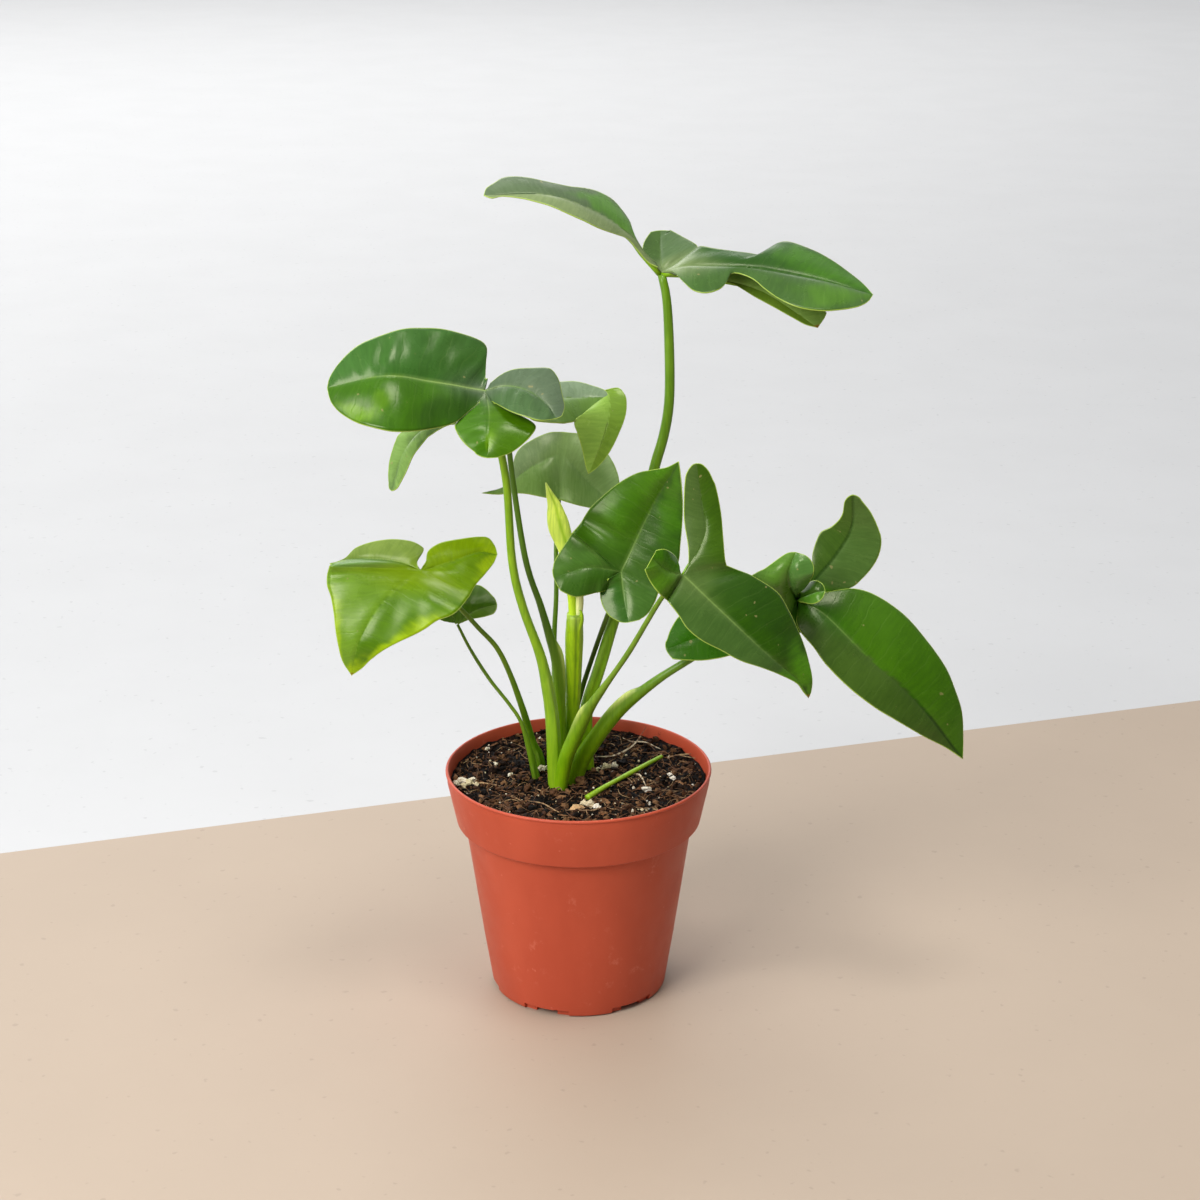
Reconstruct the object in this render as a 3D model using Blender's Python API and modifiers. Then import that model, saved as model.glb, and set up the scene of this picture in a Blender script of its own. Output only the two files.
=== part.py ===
"""Potted philodendron: a plastic nursery pot, its soil, and a young lobed-leaf plant.

The origin is on the ground, in the middle of the whole plant's outline. +Z is up, and the
plant's full side faces -Y. Everything is drawn about the pot's axis first, in millimetres, then
moved by FOOTPRINT_MIDDLE at the end.
"""

import math

import bmesh
import bpy
from mathutils import Vector

MM = 0.001
GAP = 0.3                      # clearance between pieces that touch on the real plant
FOOTPRINT_MIDDLE = 33.6        # the plant leans this far to +X of its pot's axis

# Pot
POT_HEIGHT = 114.5
RIM_RADIUS = 65.0              # outside of the rolled lip
LIP_HEIGHT = 2.6
COLLAR_RADIUS = 63.5           # outside of the collar, just under the lip
COLLAR_BOTTOM = 86.6           # the ledge where the collar steps in to the body
COLLAR_TAPER = 3.5
LEDGE_ROUNDING = 1.2
BODY_TOP_RADIUS = 56.1
FOOT_RADIUS = 43.3
FOOT_ROUNDING = 1.5
WALL = 1.3
FLOOR_BOTTOM = 3.2
FLOOR_TOP = 4.8
COLLAR_TOP = POT_HEIGHT - LIP_HEIGHT
LEDGE_TOP = COLLAR_BOTTOM + WALL
FOOT_RING_WIDTH = 4.0
NOTCHES = 6
NOTCH_WIDTH = 11.0
FIRST_NOTCH_ANGLE = -112.0     # degrees from +X
DRAIN_RADIUS = 3.5
DRAIN_CIRCLE_RADIUS = 30.0
TURN_STEPS = 64

# Soil
SOIL_MIDDLE = 105.5            # height of the flat middle, round the plant's crown
SOIL_MIDDLE_RADIUS = 30.0
SOIL_EDGE = 108.6              # height where it meets the pot's wall

# Leaves
BLADE_THICKNESS = 0.7
SEAT_GAP = 0.7                 # from a stalk's narrow end to the underside of its blade
ROWS = 7                       # vein rows along each half of a lobe
COLUMNS = 3                    # steps from midrib to margin

# Colours, linear RGB
TERRACOTTA = (0.50, 0.080, 0.035, 1)
PEAT = (0.025, 0.014, 0.008, 1)
LEAF_GREEN = (0.025, 0.13, 0.015, 1)
BRIGHT_GREEN = (0.11, 0.30, 0.015, 1)
STALK_GREEN = (0.09, 0.25, 0.02, 1)
NEW_GREEN = (0.32, 0.55, 0.06, 1)


def clear_scene():
    for old in list(bpy.data.objects):
        bpy.data.objects.remove(old, do_unlink=True)


def collection(name):
    made = bpy.data.collections.new(name)
    bpy.context.scene.collection.children.link(made)
    return made


def material(name, colour, roughness, metallic=0.0):
    made = bpy.data.materials.new(name)
    made.use_nodes = True
    shader = made.node_tree.nodes["Principled BSDF"]
    shader.inputs["Base Color"].default_value = colour
    shader.inputs["Roughness"].default_value = roughness
    shader.inputs["Metallic"].default_value = metallic
    made.diffuse_color = colour
    return made


def add_mesh_object(name, mesh, owner, finish):
    made = bpy.data.objects.new(name, mesh)
    owner.objects.link(made)
    mesh.materials.append(finish)
    return made


# ---------------------------------------------------------------- curves through points

def smooth_curve(points, count):
    """Points spaced evenly in distance along a smooth curve through the given ones."""
    nodes = [Vector(p) for p in points]
    distance = [0.0]
    for a, b in zip(nodes, nodes[1:]):
        distance.append(distance[-1] + (b - a).length)
    padded = [2 * nodes[0] - nodes[1]] + nodes + [2 * nodes[-1] - nodes[-2]]
    result = []
    for step in range(count):
        along = distance[-1] * step / (count - 1)
        span = 0
        while span < len(nodes) - 2 and along > distance[span + 1]:
            span += 1
        u = (along - distance[span]) / (distance[span + 1] - distance[span])
        p0, p1, p2, p3 = padded[span:span + 4]
        result.append(0.5 * (2 * p1 + (p2 - p0) * u + (2 * p0 - 5 * p1 + 4 * p2 - p3) * u * u
                             + (3 * p1 - p0 - 3 * p2 + p3) * u ** 3))
    return result


def between(values, fraction):
    """A value part of the way along an evenly spaced list of vectors."""
    place = min(max(fraction, 0.0), 1.0) * (len(values) - 1)
    first = min(int(place), len(values) - 2)
    return values[first].lerp(values[first + 1], place - first)


# ---------------------------------------------------------------- turned parts

def turned(name, profile, owner, finish, steps=TURN_STEPS, flip=False):
    """A closed solid from a profile of (radius, height) turned about Z."""
    mesh = bpy.data.meshes.new(name)
    form = bmesh.new()
    corners = [form.verts.new((r * MM, 0, z * MM)) for r, z in profile]
    for a, b in zip(corners, corners[1:]):
        form.edges.new((a, b))
    form.to_mesh(mesh)
    form.free()
    made = add_mesh_object(name, mesh, owner, finish)
    screw = made.modifiers.new("Turn", "SCREW")
    screw.axis = "Z"
    screw.steps = steps
    screw.render_steps = steps
    screw.use_merge_vertices = True
    screw.merge_threshold = 0.00001
    screw.use_normal_calculate = True
    screw.use_normal_flip = flip
    return made


def arc(centre, radius, start, end, count):
    """Points of a circular arc in the profile's plane, angles in degrees."""
    angles = [math.radians(start + (end - start) * i / (count - 1)) for i in range(count)]
    return [(centre[0] + radius * math.cos(a), centre[1] + radius * math.sin(a)) for a in angles]


def collar_radius(z):
    """Outside radius of the collar at height z."""
    rise = (z - COLLAR_BOTTOM) / (COLLAR_TOP - COLLAR_BOTTOM)
    return COLLAR_RADIUS - COLLAR_TAPER * (1 - rise)


def body_radius(z):
    """Outside radius of the tapered body at height z."""
    return FOOT_RADIUS + (BODY_TOP_RADIUS - FOOT_RADIUS) * z / COLLAR_BOTTOM


def build_pot(owner, cutters):
    ring_inside = FOOT_RADIUS - FOOT_RING_WIDTH
    lip_radius = LIP_HEIGHT / 2
    ledge_corner = (collar_radius(COLLAR_BOTTOM) - LEDGE_ROUNDING, COLLAR_BOTTOM + LEDGE_ROUNDING)
    profile = [(0.0, FLOOR_BOTTOM), (ring_inside, FLOOR_BOTTOM), (ring_inside, 0.0)]
    profile += arc((FOOT_RADIUS - FOOT_ROUNDING, FOOT_ROUNDING), FOOT_ROUNDING, -90, -8, 4)
    profile += [(BODY_TOP_RADIUS, COLLAR_BOTTOM)]
    profile += arc(ledge_corner, LEDGE_ROUNDING, -90, -8, 3)
    profile += [(COLLAR_RADIUS, COLLAR_TOP - 0.3)]
    profile += arc((RIM_RADIUS - lip_radius, POT_HEIGHT - lip_radius), lip_radius, -60, 90, 6)
    profile += [(COLLAR_RADIUS - WALL + 0.4, POT_HEIGHT), (COLLAR_RADIUS - WALL, POT_HEIGHT - 0.6)]
    profile += [(COLLAR_RADIUS - WALL, COLLAR_TOP), (collar_radius(LEDGE_TOP) - WALL, LEDGE_TOP)]
    profile += [(BODY_TOP_RADIUS - WALL, LEDGE_TOP), (body_radius(FLOOR_TOP) - WALL, FLOOR_TOP)]
    profile += [(0.0, FLOOR_TOP)]
    pot = turned("pot", profile, owner, material("terracotta_plastic", TERRACOTTA, 0.5))
    for index in range(NOTCHES):
        angle = math.radians(FIRST_NOTCH_ANGLE + 360 * index / NOTCHES)
        cut(pot, notch_cutter(index, angle, cutters))
        cut(pot, drain_cutter(index, angle, cutters))
    return pot


def notch_cutter(index, angle, cutters):
    """A block that cuts one drainage notch through the foot ring."""
    bpy.ops.mesh.primitive_cube_add(size=1)
    block = bpy.context.object
    block.name = "notch_cutter_%d" % index
    middle = FOOT_RADIUS - 1.0
    block.scale = (10 * MM, NOTCH_WIDTH * MM, (FLOOR_BOTTOM - 0.4 + 2) * MM)
    height = (FLOOR_BOTTOM - 0.4 - 2) / 2
    block.location = (middle * math.cos(angle) * MM, middle * math.sin(angle) * MM, height * MM)
    block.rotation_euler = (0, 0, angle)
    return hide_cutter(block, cutters)


def drain_cutter(index, angle, cutters):
    """A cylinder that cuts one drainage hole through the floor."""
    bpy.ops.mesh.primitive_cylinder_add(vertices=16, radius=DRAIN_RADIUS * MM, depth=6 * MM)
    pin = bpy.context.object
    pin.name = "drain_cutter_%d" % index
    away = angle + math.pi / NOTCHES
    pin.location = (DRAIN_CIRCLE_RADIUS * math.cos(away) * MM,
                    DRAIN_CIRCLE_RADIUS * math.sin(away) * MM,
                    (FLOOR_TOP + FLOOR_BOTTOM) / 2 * MM)
    return hide_cutter(pin, cutters)


def hide_cutter(cutter, cutters):
    for home in list(cutter.users_collection):
        home.objects.unlink(cutter)
    cutters.objects.link(cutter)
    cutter.hide_render = True
    cutter.display_type = "WIRE"
    return cutter


def cut(target, cutter):
    boolean = target.modifiers.new(cutter.name, "BOOLEAN")
    boolean.operation = "DIFFERENCE"
    boolean.solver = "EXACT"
    boolean.object = cutter


def build_soil(owner):
    """Potting mix that fills the pot to just under the rim."""
    low = FLOOR_TOP + GAP
    inset = WALL + GAP
    profile = [(0.0, low), (body_radius(low) - inset, low)]
    profile += [(BODY_TOP_RADIUS - inset, LEDGE_TOP + GAP)]
    profile += [(collar_radius(LEDGE_TOP) - inset, LEDGE_TOP + GAP)]
    profile += [(collar_radius(SOIL_EDGE) - inset, SOIL_EDGE)]
    profile += [(SOIL_MIDDLE_RADIUS, SOIL_MIDDLE), (0.0, SOIL_MIDDLE)]
    return turned("soil", profile, owner, material("peat_soil", PEAT, 0.95), flip=True)


# ---------------------------------------------------------------- stalks

def stalk(name, points, radii, owner, finish, count=12):
    """A tapering round stalk through hand-placed points, with flat ends."""
    shape = bpy.data.curves.new(name, "CURVE")
    shape.dimensions = "3D"
    shape.bevel_depth = MM
    shape.bevel_resolution = 1
    shape.use_fill_caps = True
    shape.twist_mode = "MINIMUM"
    line = shape.splines.new("POLY")
    route = smooth_curve(points, count)
    line.points.add(len(route) - 1)
    sizes = [Vector((r, 0, 0)) for r in radii]
    for index, (point, place) in enumerate(zip(line.points, route)):
        point.co = (place.x * MM, place.y * MM, place.z * MM, 1)
        point.radius = between(sizes, index / (len(route) - 1)).x
    made = bpy.data.objects.new(name, shape)
    owner.objects.link(made)
    shape.materials.append(finish)
    return made


# Each stalk: its route up from the soil, and its radius at even steps along it. A petiole runs
# on from its last point to the seat under its blade.
STALKS = {
    "petiole_top": (
        [(4, 17, 106.2), (3.5, 16.5, 122), (4, 16.5, 139), (10, 16.5, 159), (17, 19, 183), (30, 24, 228),
         (37, 27, 258), (42, 29, 274), (45, 30, 291), (45, 32, 315), (43, 33.5, 339)],
        [3.6, 3.3, 3.0, 2.9, 2.7, 2.6, 2.5, 2.4, 2.3, 0.45]),
    "petiole_upper_left": (
        [(-12, -6, 106.2), (-13, -6, 126), (-14, -6, 144), (-16, -7, 159), (-22, -9, 176),
         (-28, -13, 202), (-32, -16, 226), (-34, -21, 267), (-40, -23, 300)],
        [3.5, 3.6, 3.1, 2.3, 2.1, 2.0, 1.9, 1.8, 0.45]),
    "petiole_upper_back": (
        [(-10.5, 8.5, 106.2), (-9.8, 8, 129), (-9.5, 5.5, 147), (-10.5, 4, 167), (-14, 3, 182),
         (-18, 3, 197), (-25, 4, 220), (-31, 7, 261), (-33, 9, 285)],
        [3.7, 3.4, 2.8, 2.3, 1.6, 1.5, 1.4, 1.3, 0.45]),
    "petiole_back": (
        [(-13, 20.5, 106.2), (-13, 20, 133), (-12, 22, 151), (-12, 27, 172), (-11, 33, 192),
         (-11, 42, 217), (-9, 47.5, 245)],
        [2.6, 2.2, 1.5, 1.3, 1.2, 1.1, 1.1, 1.0, 0.45]),
    "petiole_centre": (
        [(-1, 25.5, 106.2), (-1.5, 25, 129), (1, 22, 144), (7, 19, 165), (14, 13, 188), (20, 6.5, 206)],
        [2.2, 1.9, 1.4, 1.3, 1.2, 1.2, 1.2, 1.1, 0.45]),
    "petiole_front_right": (
        [(-5, -3, 106.6), (-5, -5, 115), (-4.5, -8.5, 127), (-0.5, -13.5, 141), (6, -20, 154),
         (11, -24, 164), (24, -32, 186), (39, -42, 217)],
        [3.2, 3.6, 3.6, 2.6, 1.5, 1.4, 1.3, 1.2, 0.45]),
    "petiole_right": (
        [(3, 6, 106.9), (3.3, 4.4, 115), (9.5, -2, 132), (20, -9, 150), (36, -14, 165),
         (50, -14.5, 174), (77, -11, 190)],
        [4.5, 4.6, 4.3, 3.9, 2.3, 1.9, 1.8, 1.7, 0.45]),
    "petiole_lower_left": (
        [(-19, 20, 106.5), (-20, 18.5, 113), (-23, 16, 121), (-27, 9, 140), (-33, 2, 162),
         (-39, -4, 178), (-47, -10, 190), (-55, -14, 201), (-64, -20, 213)],
        [2.2, 2.0, 1.8, 1.5, 1.3, 1.2, 1.1, 1.0, 0.45]),
    "petiole_small": (
        [(-21, 5, 106.2), (-24, 3, 122), (-28, 2, 137), (-34, 2, 147), (-43, 3, 159),
         (-52, 6, 173)],
        [2.1, 1.8, 1.5, 1.0, 0.9, 0.9, 0.9, 0.8, 0.45]),
    "sheath_new_leaf": (
        [(-4.5, 15, 106.2), (-3.5, 13, 125), (-2.5, 10, 146), (-2.2, 6, 172), (-2.2, 2, 193)],
        [4.0, 4.1, 4.2, 4.3, 4.2, 4.0, 3.9, 3.9, 3.4]),
    "rolled_new_leaf": (
        [(-2.2, 1.9, 194.0), (-3, 3.5, 205), (-5.5, 6, 217), (-9, 9, 230), (-12, 10.5, 242),
         (-15, 11, 256)],
        [2.2, 2.1, 2.2, 3.2, 4.3, 4.8, 4.0, 2.2, 0.3]),
    "petiole_cut_off": (
        [(6.3, -21, 107.4), (15, -9, 107.8), (28, 7, 108.4), (41.2, 24, 109.2)],
        [1.3, 1.7, 1.6, 1.6, 1.6, 1.5, 1.5, 1.4]),
}


def blade_seat(blade):
    """Where a stalk ends: just under its blade, below the point where the veins meet."""
    faces = [Vector(part["up"][0]) for part in blade["lobes"]]
    up = sum(faces, Vector()).normalized()
    return tuple(Vector(blade["junction"]) - up * (BLADE_THICKNESS / 2 + SEAT_GAP))


def build_stalks(owner):
    green = material("stalk", STALK_GREEN, 0.4)
    new_green = material("new_growth", NEW_GREEN, 0.45)
    for name, (points, radii) in STALKS.items():
        finish = new_green if "new" in name else green
        leaf = name.replace("petiole", "leaf")
        end = [blade_seat(BLADES[leaf])] if leaf in BLADES else []
        stalk(name, points + end, radii, owner, finish)


# ---------------------------------------------------------------- leaf blades

def lobe(rib, up, left, right):
    """One lobe of a blade.

    rib:   points of its midrib beyond the junction, the last one its tip
    up:    the way its face looks, at even steps along the midrib
    left:  (fraction along the midrib, half-width) pairs of its left margin, from notch to tip
    right: the same for the right margin
    """
    return {"rib": rib, "up": up, "left": left, "right": right}


# Each blade: the point where its veins meet, the notches between its lobes (from the free
# side, round to the other free side), and its lobes in the same order, anticlockwise from above.
BLADES = {
    "leaf_top": {
        "junction": (40, 35, 352),
        "notches": [(42, 34, 350), (50, 31, 352), (57, 56, 359), (36, 40, 356), (37, 33, 355)],
        "lobes": [
            lobe([(58, 35, 350), (86, 36, 341), (110, 32, 326)], [(0, -0.75, 0.6), (0, -0.9, 0.4)],
                 [(0.41, 5), (0.69, 7), (0.86, 9), (0.96, 6)], [(0.25, 3), (0.5, 3), (0.75, 2)]),
            lobe([(53, 32, 356), (69, 30, 356), (88, 28, 354), (113, 24, 351), (137, 18, 345)],
                 [(0, -0.4, 0.9), (0.1, -0.45, 0.88)],
                 [(0.2, 14), (0.35, 13), (0.46, 12), (0.51, 20), (0.56, 25), (0.64, 23), (0.74, 20),
                  (0.84, 13), (0.93, 6)],
                 [(0.11, 10), (0.17, 18), (0.24, 20), (0.3, 15), (0.34, 7), (0.43, 8), (0.51, 14),
                  (0.61, 20), (0.71, 22), (0.84, 20), (0.95, 12)]),
            lobe([(39, 46, 358), (40, 62, 366)], [(-0.05, -0.5, 0.85)] * 2,
                 [(0.41, 6), (0.67, 9), (0.92, 6)], [(0.8, 13), (0.96, 6)]),
            lobe([(31, 34, 361), (25, 33, 370), (10, 30, 379), (-13, 25, 389), (-42, 20, 392)],
                 [(0, -0.45, 0.88), (0, -0.4, 0.9)],
                 [(0.13, 1), (0.23, 2), (0.36, 5), (0.47, 5), (0.58, 5), (0.7, 4), (0.83, 3)],
                 [(0.14, 1), (0.24, 3), (0.3, 13), (0.38, 19), (0.44, 20), (0.56, 17), (0.74, 14),
                  (0.83, 14), (0.92, 11)]),
        ]},
    "leaf_upper_left": {
        "junction": (-42, -25, 310),
        "notches": [(-41, -24, 316), (-44, -30, 306), (-38, -31, 306), (-37, -22, 312)],
        "lobes": [
            lobe([(-66, -32, 316), (-85, -38, 320), (-111, -36, 315)],
                 [(-0.1, -0.75, 0.65), (-0.35, -0.7, 0.6)],
                 [(0.07, 9), (0.2, 17), (0.37, 23), (0.58, 27), (0.79, 22), (0.93, 13)],
                 [(-0.03, 15), (0, 23), (0.1, 26), (0.27, 27), (0.45, 26), (0.66, 21), (0.84, 15),
                  (0.96, 7)]),
            lobe([(-40, -34, 303), (-39, -44, 295), (-40, -50, 286)], [(0, -0.5, 0.87), (0, -0.97, 0.2)],
                 [(0.39, 13), (0.59, 21), (0.68, 19), (0.81, 14), (0.92, 8)],
                 [(0.29, 11), (0.45, 15), (0.71, 13), (0.91, 8)]),
            lobe([(-33, -26, 312), (-23, -30, 312), (-16, -36, 307), (-11, -42, 300)],
                 [(0.05, -0.5, 0.86), (0.5, -0.7, 0.5)],
                 [(0.18, 8), (0.26, 11), (0.4, 13), (0.48, 16), (0.58, 17), (0.7, 14), (0.86, 9)],
                 [(0.34, 14), (0.6, 15), (0.85, 12), (0.97, 6)]),
        ]},
    "leaf_upper_back": {
        "junction": (-33, 8, 293),
        "notches": [(-29, 2, 291), (-38, 30, 301), (-38, 4, 293)],
        "lobes": [
            lobe([(-15, 14, 297), (2, 20, 295), (12, 18, 289), (11, 10, 277), (5, 2, 263)],
                 [(0.05, -0.45, 0.9), (0.1, -0.5, 0.85), (0.3, -0.75, 0.6), (0.35, -0.9, 0.25)],
                 [(0.19, 12), (0.36, 11), (0.47, 10), (0.54, 10), (0.6, 13), (0.7, 10), (0.85, 7)],
                 [(0.2, 14), (0.35, 18), (0.5, 19), (0.7, 12), (0.87, 6)]),
            lobe([(-51, 10, 289), (-69, 8, 285), (-81, 2, 275), (-87, -6, 257)],
                 [(0, -0.4, 0.9), (-0.4, -0.6, 0.7), (-0.75, -0.6, 0.25)],
                 [(0.25, 4), (0.4, 3), (0.53, 5), (0.66, 8), (0.8, 9), (0.92, 6)],
                 [(0.24, 12), (0.47, 11), (0.64, 9), (0.8, 7), (0.93, 5)]),
        ]},
    "leaf_back": {
        "junction": (-8, 45, 261),
        "notches": [(-9, 46, 268), (-6, 33, 239), (-7.6, 46, 268)],
        "lobes": [
            lobe([(-23, 40, 255), (-36, 34, 247), (-47, 28, 245)], [(-0.1, -0.85, 0.5), (-0.1, -0.8, 0.6)],
                 [(0.4, 15), (0.58, 10), (0.71, 4), (0.85, 1)],
                 [(-0.1, 12), (0.1, 11), (0.3, 12), (0.45, 9), (0.62, 2), (0.8, 1)]),
            lobe([(3, 38, 250), (16, 30, 239)], [(0.1, -0.85, 0.5)] * 2,
                 [(-0.2, 8), (0, 15), (0.2, 17), (0.42, 18), (0.71, 15), (0.9, 9)],
                 [(0.68, 13), (0.82, 9), (0.94, 4)]),
        ]},
    "leaf_centre": {
        "junction": (21, 2, 215),
        "notches": [(17, 0, 210), (39, -4, 206), (-2, -2, 236), (15, 0, 211)],
        "lobes": [
            lobe([(22, -3, 203), (23, -10, 193)], [(-0.05, -0.9, 0.4), (0, -0.95, 0.3)],
                 [(0.72, 12), (0.92, 6)], [(0.45, 11), (0.68, 10), (0.88, 6)]),
            lobe([(35, 6, 245), (47, 3, 269)], [(-0.1, -0.92, 0.38), (-0.1, -0.9, 0.4)],
                 [(0.21, 28), (0.37, 26), (0.58, 21), (0.72, 14), (0.88, 4)],
                 [(0.13, 23), (0.28, 23), (0.42, 21), (0.64, 15), (0.85, 7)]),
            lobe([(6, -2, 219), (-10, -6, 214)], [(-0.1, -0.9, 0.4), (-0.2, -0.9, 0.4)],
                 [(0.3, 13), (0.74, 12), (0.95, 7)], [(0.77, 9), (0.96, 5)]),
        ]},
    "leaf_front_right": {
        "junction": (48, -45, 229),
        "notches": [(47, -45, 230), (42, -50, 218), (69, -42, 232), (50, -44, 230)],
        "lobes": [
            lobe([(41, -48, 231), (33, -52, 239)], [(0, -0.8, 0.6)] * 2,
                 [(0.42, 11), (0.85, 6)], [(0.05, 6), (0.2, 11), (0.85, 8)]),
            lobe([(63, -50, 216), (84, -54, 197), (98, -50, 183), (107, -44, 170)],
                 [(0.05, -0.8, 0.6), (0.1, -0.8, 0.6)],
                 [(0.24, 21), (0.41, 23), (0.59, 22), (0.77, 16), (0.9, 9)],
                 [(0.14, 14), (0.28, 16), (0.39, 15), (0.5, 12), (0.65, 8), (0.84, 2)]),
            lobe([(59, -38, 246), (57, -33, 261), (54, -31, 278)], [(0, -0.85, 0.5), (0, -0.95, 0.25)],
                 [(0.15, 2), (0.3, 7), (0.45, 10), (0.71, 9), (0.88, 6)],
                 [(0.33, 10), (0.45, 8), (0.69, 8), (0.88, 7), (0.97, 4)]),
        ]},
    "leaf_right": {
        "junction": (104, -10, 204),
        "notches": [(104, -12, 199), (108, -14, 205), (111, -8, 209), (108, -8, 212), (88, -14, 206),
                    (99, -12, 201)],
        "lobes": [
            lobe([(117, -16, 199), (134, -24, 183), (159, -28, 161), (183, -24, 129)],
                 [(0.2, -0.8, 0.55), (0.3, -0.85, 0.4)],
                 [(0.1, 8), (0.14, 18), (0.2, 24), (0.32, 28), (0.49, 28), (0.63, 23), (0.76, 20),
                  (0.89, 12)],
                 [(0.06, 14), (0.21, 18), (0.29, 20), (0.4, 20), (0.53, 18), (0.71, 13), (0.85, 7)]),
            lobe([(108, -18, 211), (114, -24, 215)], [(0, -0.7, 0.7), (0, -0.8, 0.6)],
                 [(0.6, 6), (0.95, 4)], [(0.6, 6), (0.94, 5)]),
            lobe([(113, -4, 212), (122, 0, 223), (130, 2, 236), (129, 0, 253)],
                 [(-0.05, -0.93, 0.35), (-0.1, -0.95, 0.25)],
                 [(0.29, 6), (0.36, 9), (0.47, 11), (0.56, 12), (0.71, 9), (0.91, 5)],
                 [(0.24, 11), (0.3, 14), (0.42, 17), (0.55, 18), (0.65, 17), (0.74, 13), (0.84, 9),
                  (0.96, 5)]),
            lobe([(100, -14, 218), (99, -18, 230)], [(-0.1, -0.9, 0.4), (-0.1, -0.8, 0.6)],
                 [(0.41, 15), (0.63, 16), (0.85, 8)], [(0.34, 8), (0.7, 11), (0.93, 7)]),
            lobe([(86, -16, 200), (62, -20, 191), (42, -24, 182)], [(-0.05, -0.75, 0.65), (-0.1, -0.8, 0.6)],
                 [(0.34, 13), (0.59, 14), (0.76, 11), (0.93, 6)],
                 [(0.42, 10), (0.64, 15), (0.79, 14), (0.91, 9)]),
        ]},
    "leaf_lower_left": {
        "junction": (-73, -25, 224),
        "notches": [(-75, -24, 227), (-115, -28, 227), (-50, -32, 216), (-71, -24, 227)],
        "lobes": [
            lobe([(-90, -21, 230), (-109, -20, 231)], [(-0.1, -0.7, 0.7), (-0.2, -0.7, 0.7)],
                 [(1.0, 4)], [(0.05, 9), (0.12, 12), (0.26, 12), (0.42, 11), (0.65, 8), (0.85, 5)]),
            lobe([(-89, -34, 213), (-100, -42, 196), (-105, -42, 179)],
                 [(-0.05, -0.75, 0.65), (-0.05, -0.95, 0.3)],
                 [(0.14, 24), (0.35, 24), (0.53, 20), (0.66, 14), (0.82, 8)],
                 [(0.25, 32), (0.4, 30), (0.5, 26), (0.58, 19), (0.68, 14), (0.8, 9)]),
            lobe([(-59, -21, 227), (-46, -17, 232), (-38, -16, 230)],
                 [(0.05, -0.75, 0.65), (0.1, -0.75, 0.65)],
                 [(0.14, 8), (0.28, 11), (0.51, 11), (0.69, 8), (0.85, 6)],
                 [(0.53, 14), (0.8, 12), (0.96, 6)]),
        ]},
    "leaf_small": {
        "junction": (-59, 8, 186),
        "notches": [(-56, 8, 187), (-60, 14, 201), (-62, 8, 187)],
        "lobes": [
            lobe([(-50, 8, 192), (-39, 6, 196)], [(-0.1, -0.75, 0.65), (0.1, -0.8, 0.6)],
                 [(0.62, 13), (0.79, 10), (0.96, 4)], [(0.29, 3), (0.62, 4), (0.86, 4)]),
            lobe([(-65, 10, 192), (-74, 12, 198)], [(-0.1, -0.75, 0.65), (-0.1, -0.8, 0.6)],
                 [(0.37, 5), (0.8, 4)], [(0.6, 11), (0.95, 6)]),
        ]},
}


def lobe_frame(rib, up, fraction):
    """Place, sideways direction and face direction on a midrib."""
    place = between(rib, fraction)
    ahead = between(rib, fraction + 0.04) - between(rib, fraction - 0.04)
    ahead.normalize()
    face = between(up, fraction)
    face = (face - ahead * face.dot(ahead)).normalized()
    return place, face.cross(ahead), face


def half_lobe(form, notch, rib, up, margin, side):
    """Vein rows from midrib to margin on one side of a lobe; side is 1 left, -1 right."""
    edge = [Vector(notch)]
    for fraction, width in margin:
        place, sideways, _ = lobe_frame(rib, up, fraction)
        edge.append(place + sideways * side * width)
    edge.append(rib[-1].copy())
    edge = smooth_curve(edge, ROWS + 1)
    rows = []
    for row in range(ROWS + 1):
        root = between(rib, row / ROWS)
        rows.append([root.lerp(edge[row], column / COLUMNS) for column in range(COLUMNS + 1)])
    corners = [[form.verts.new(p * MM) for p in row] for row in rows]
    for lower, upper in zip(corners, corners[1:]):
        for column in range(COLUMNS):
            ring = [lower[column], upper[column], upper[column + 1], lower[column + 1]]
            form.faces.new(ring if side < 0 else ring[::-1])


def build_blade(name, blade, owner, finish):
    form = bmesh.new()
    junction = Vector(blade["junction"])
    for index, part in enumerate(blade["lobes"]):
        rib = smooth_curve([junction] + part["rib"], 25)
        up = [Vector(direction) for direction in part["up"]]
        half_lobe(form, blade["notches"][index], rib, up, part["right"], -1)
        half_lobe(form, blade["notches"][index + 1], rib, up, part["left"], 1)
    bmesh.ops.remove_doubles(form, verts=form.verts, dist=0.01 * MM)
    mesh = bpy.data.meshes.new(name)
    form.to_mesh(mesh)
    form.free()
    made = add_mesh_object(name, mesh, owner, finish)
    solidify = made.modifiers.new("Thickness", "SOLIDIFY")
    solidify.thickness = BLADE_THICKNESS * MM
    solidify.offset = 0
    solidify.use_even_offset = False
    return made


def build_blades(owner):
    green = material("leaf", LEAF_GREEN, 0.35)
    bright = material("bright_leaf", BRIGHT_GREEN, 0.38)
    for name, blade in BLADES.items():
        build_blade(name, blade, owner, bright if name == "leaf_lower_left" else green)


clear_scene()
plant = collection("potted_philodendron")
cutter_shelf = collection("cutters")
build_pot(plant, cutter_shelf)
build_soil(plant)
build_stalks(plant)
build_blades(plant)
for piece in list(plant.objects) + list(cutter_shelf.objects):
    piece.location.x -= FOOTPRINT_MIDDLE * MM
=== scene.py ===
"""A young philodendron with lobed leaves in a terracotta-coloured nursery pot.

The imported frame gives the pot's place and size. Lengths are in millimetres from the pot's axis
and the ground, and at() turns them into metres in the frame.
"""

import math
import random

import bmesh
import bpy
from mathutils import Matrix, Vector, noise


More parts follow.
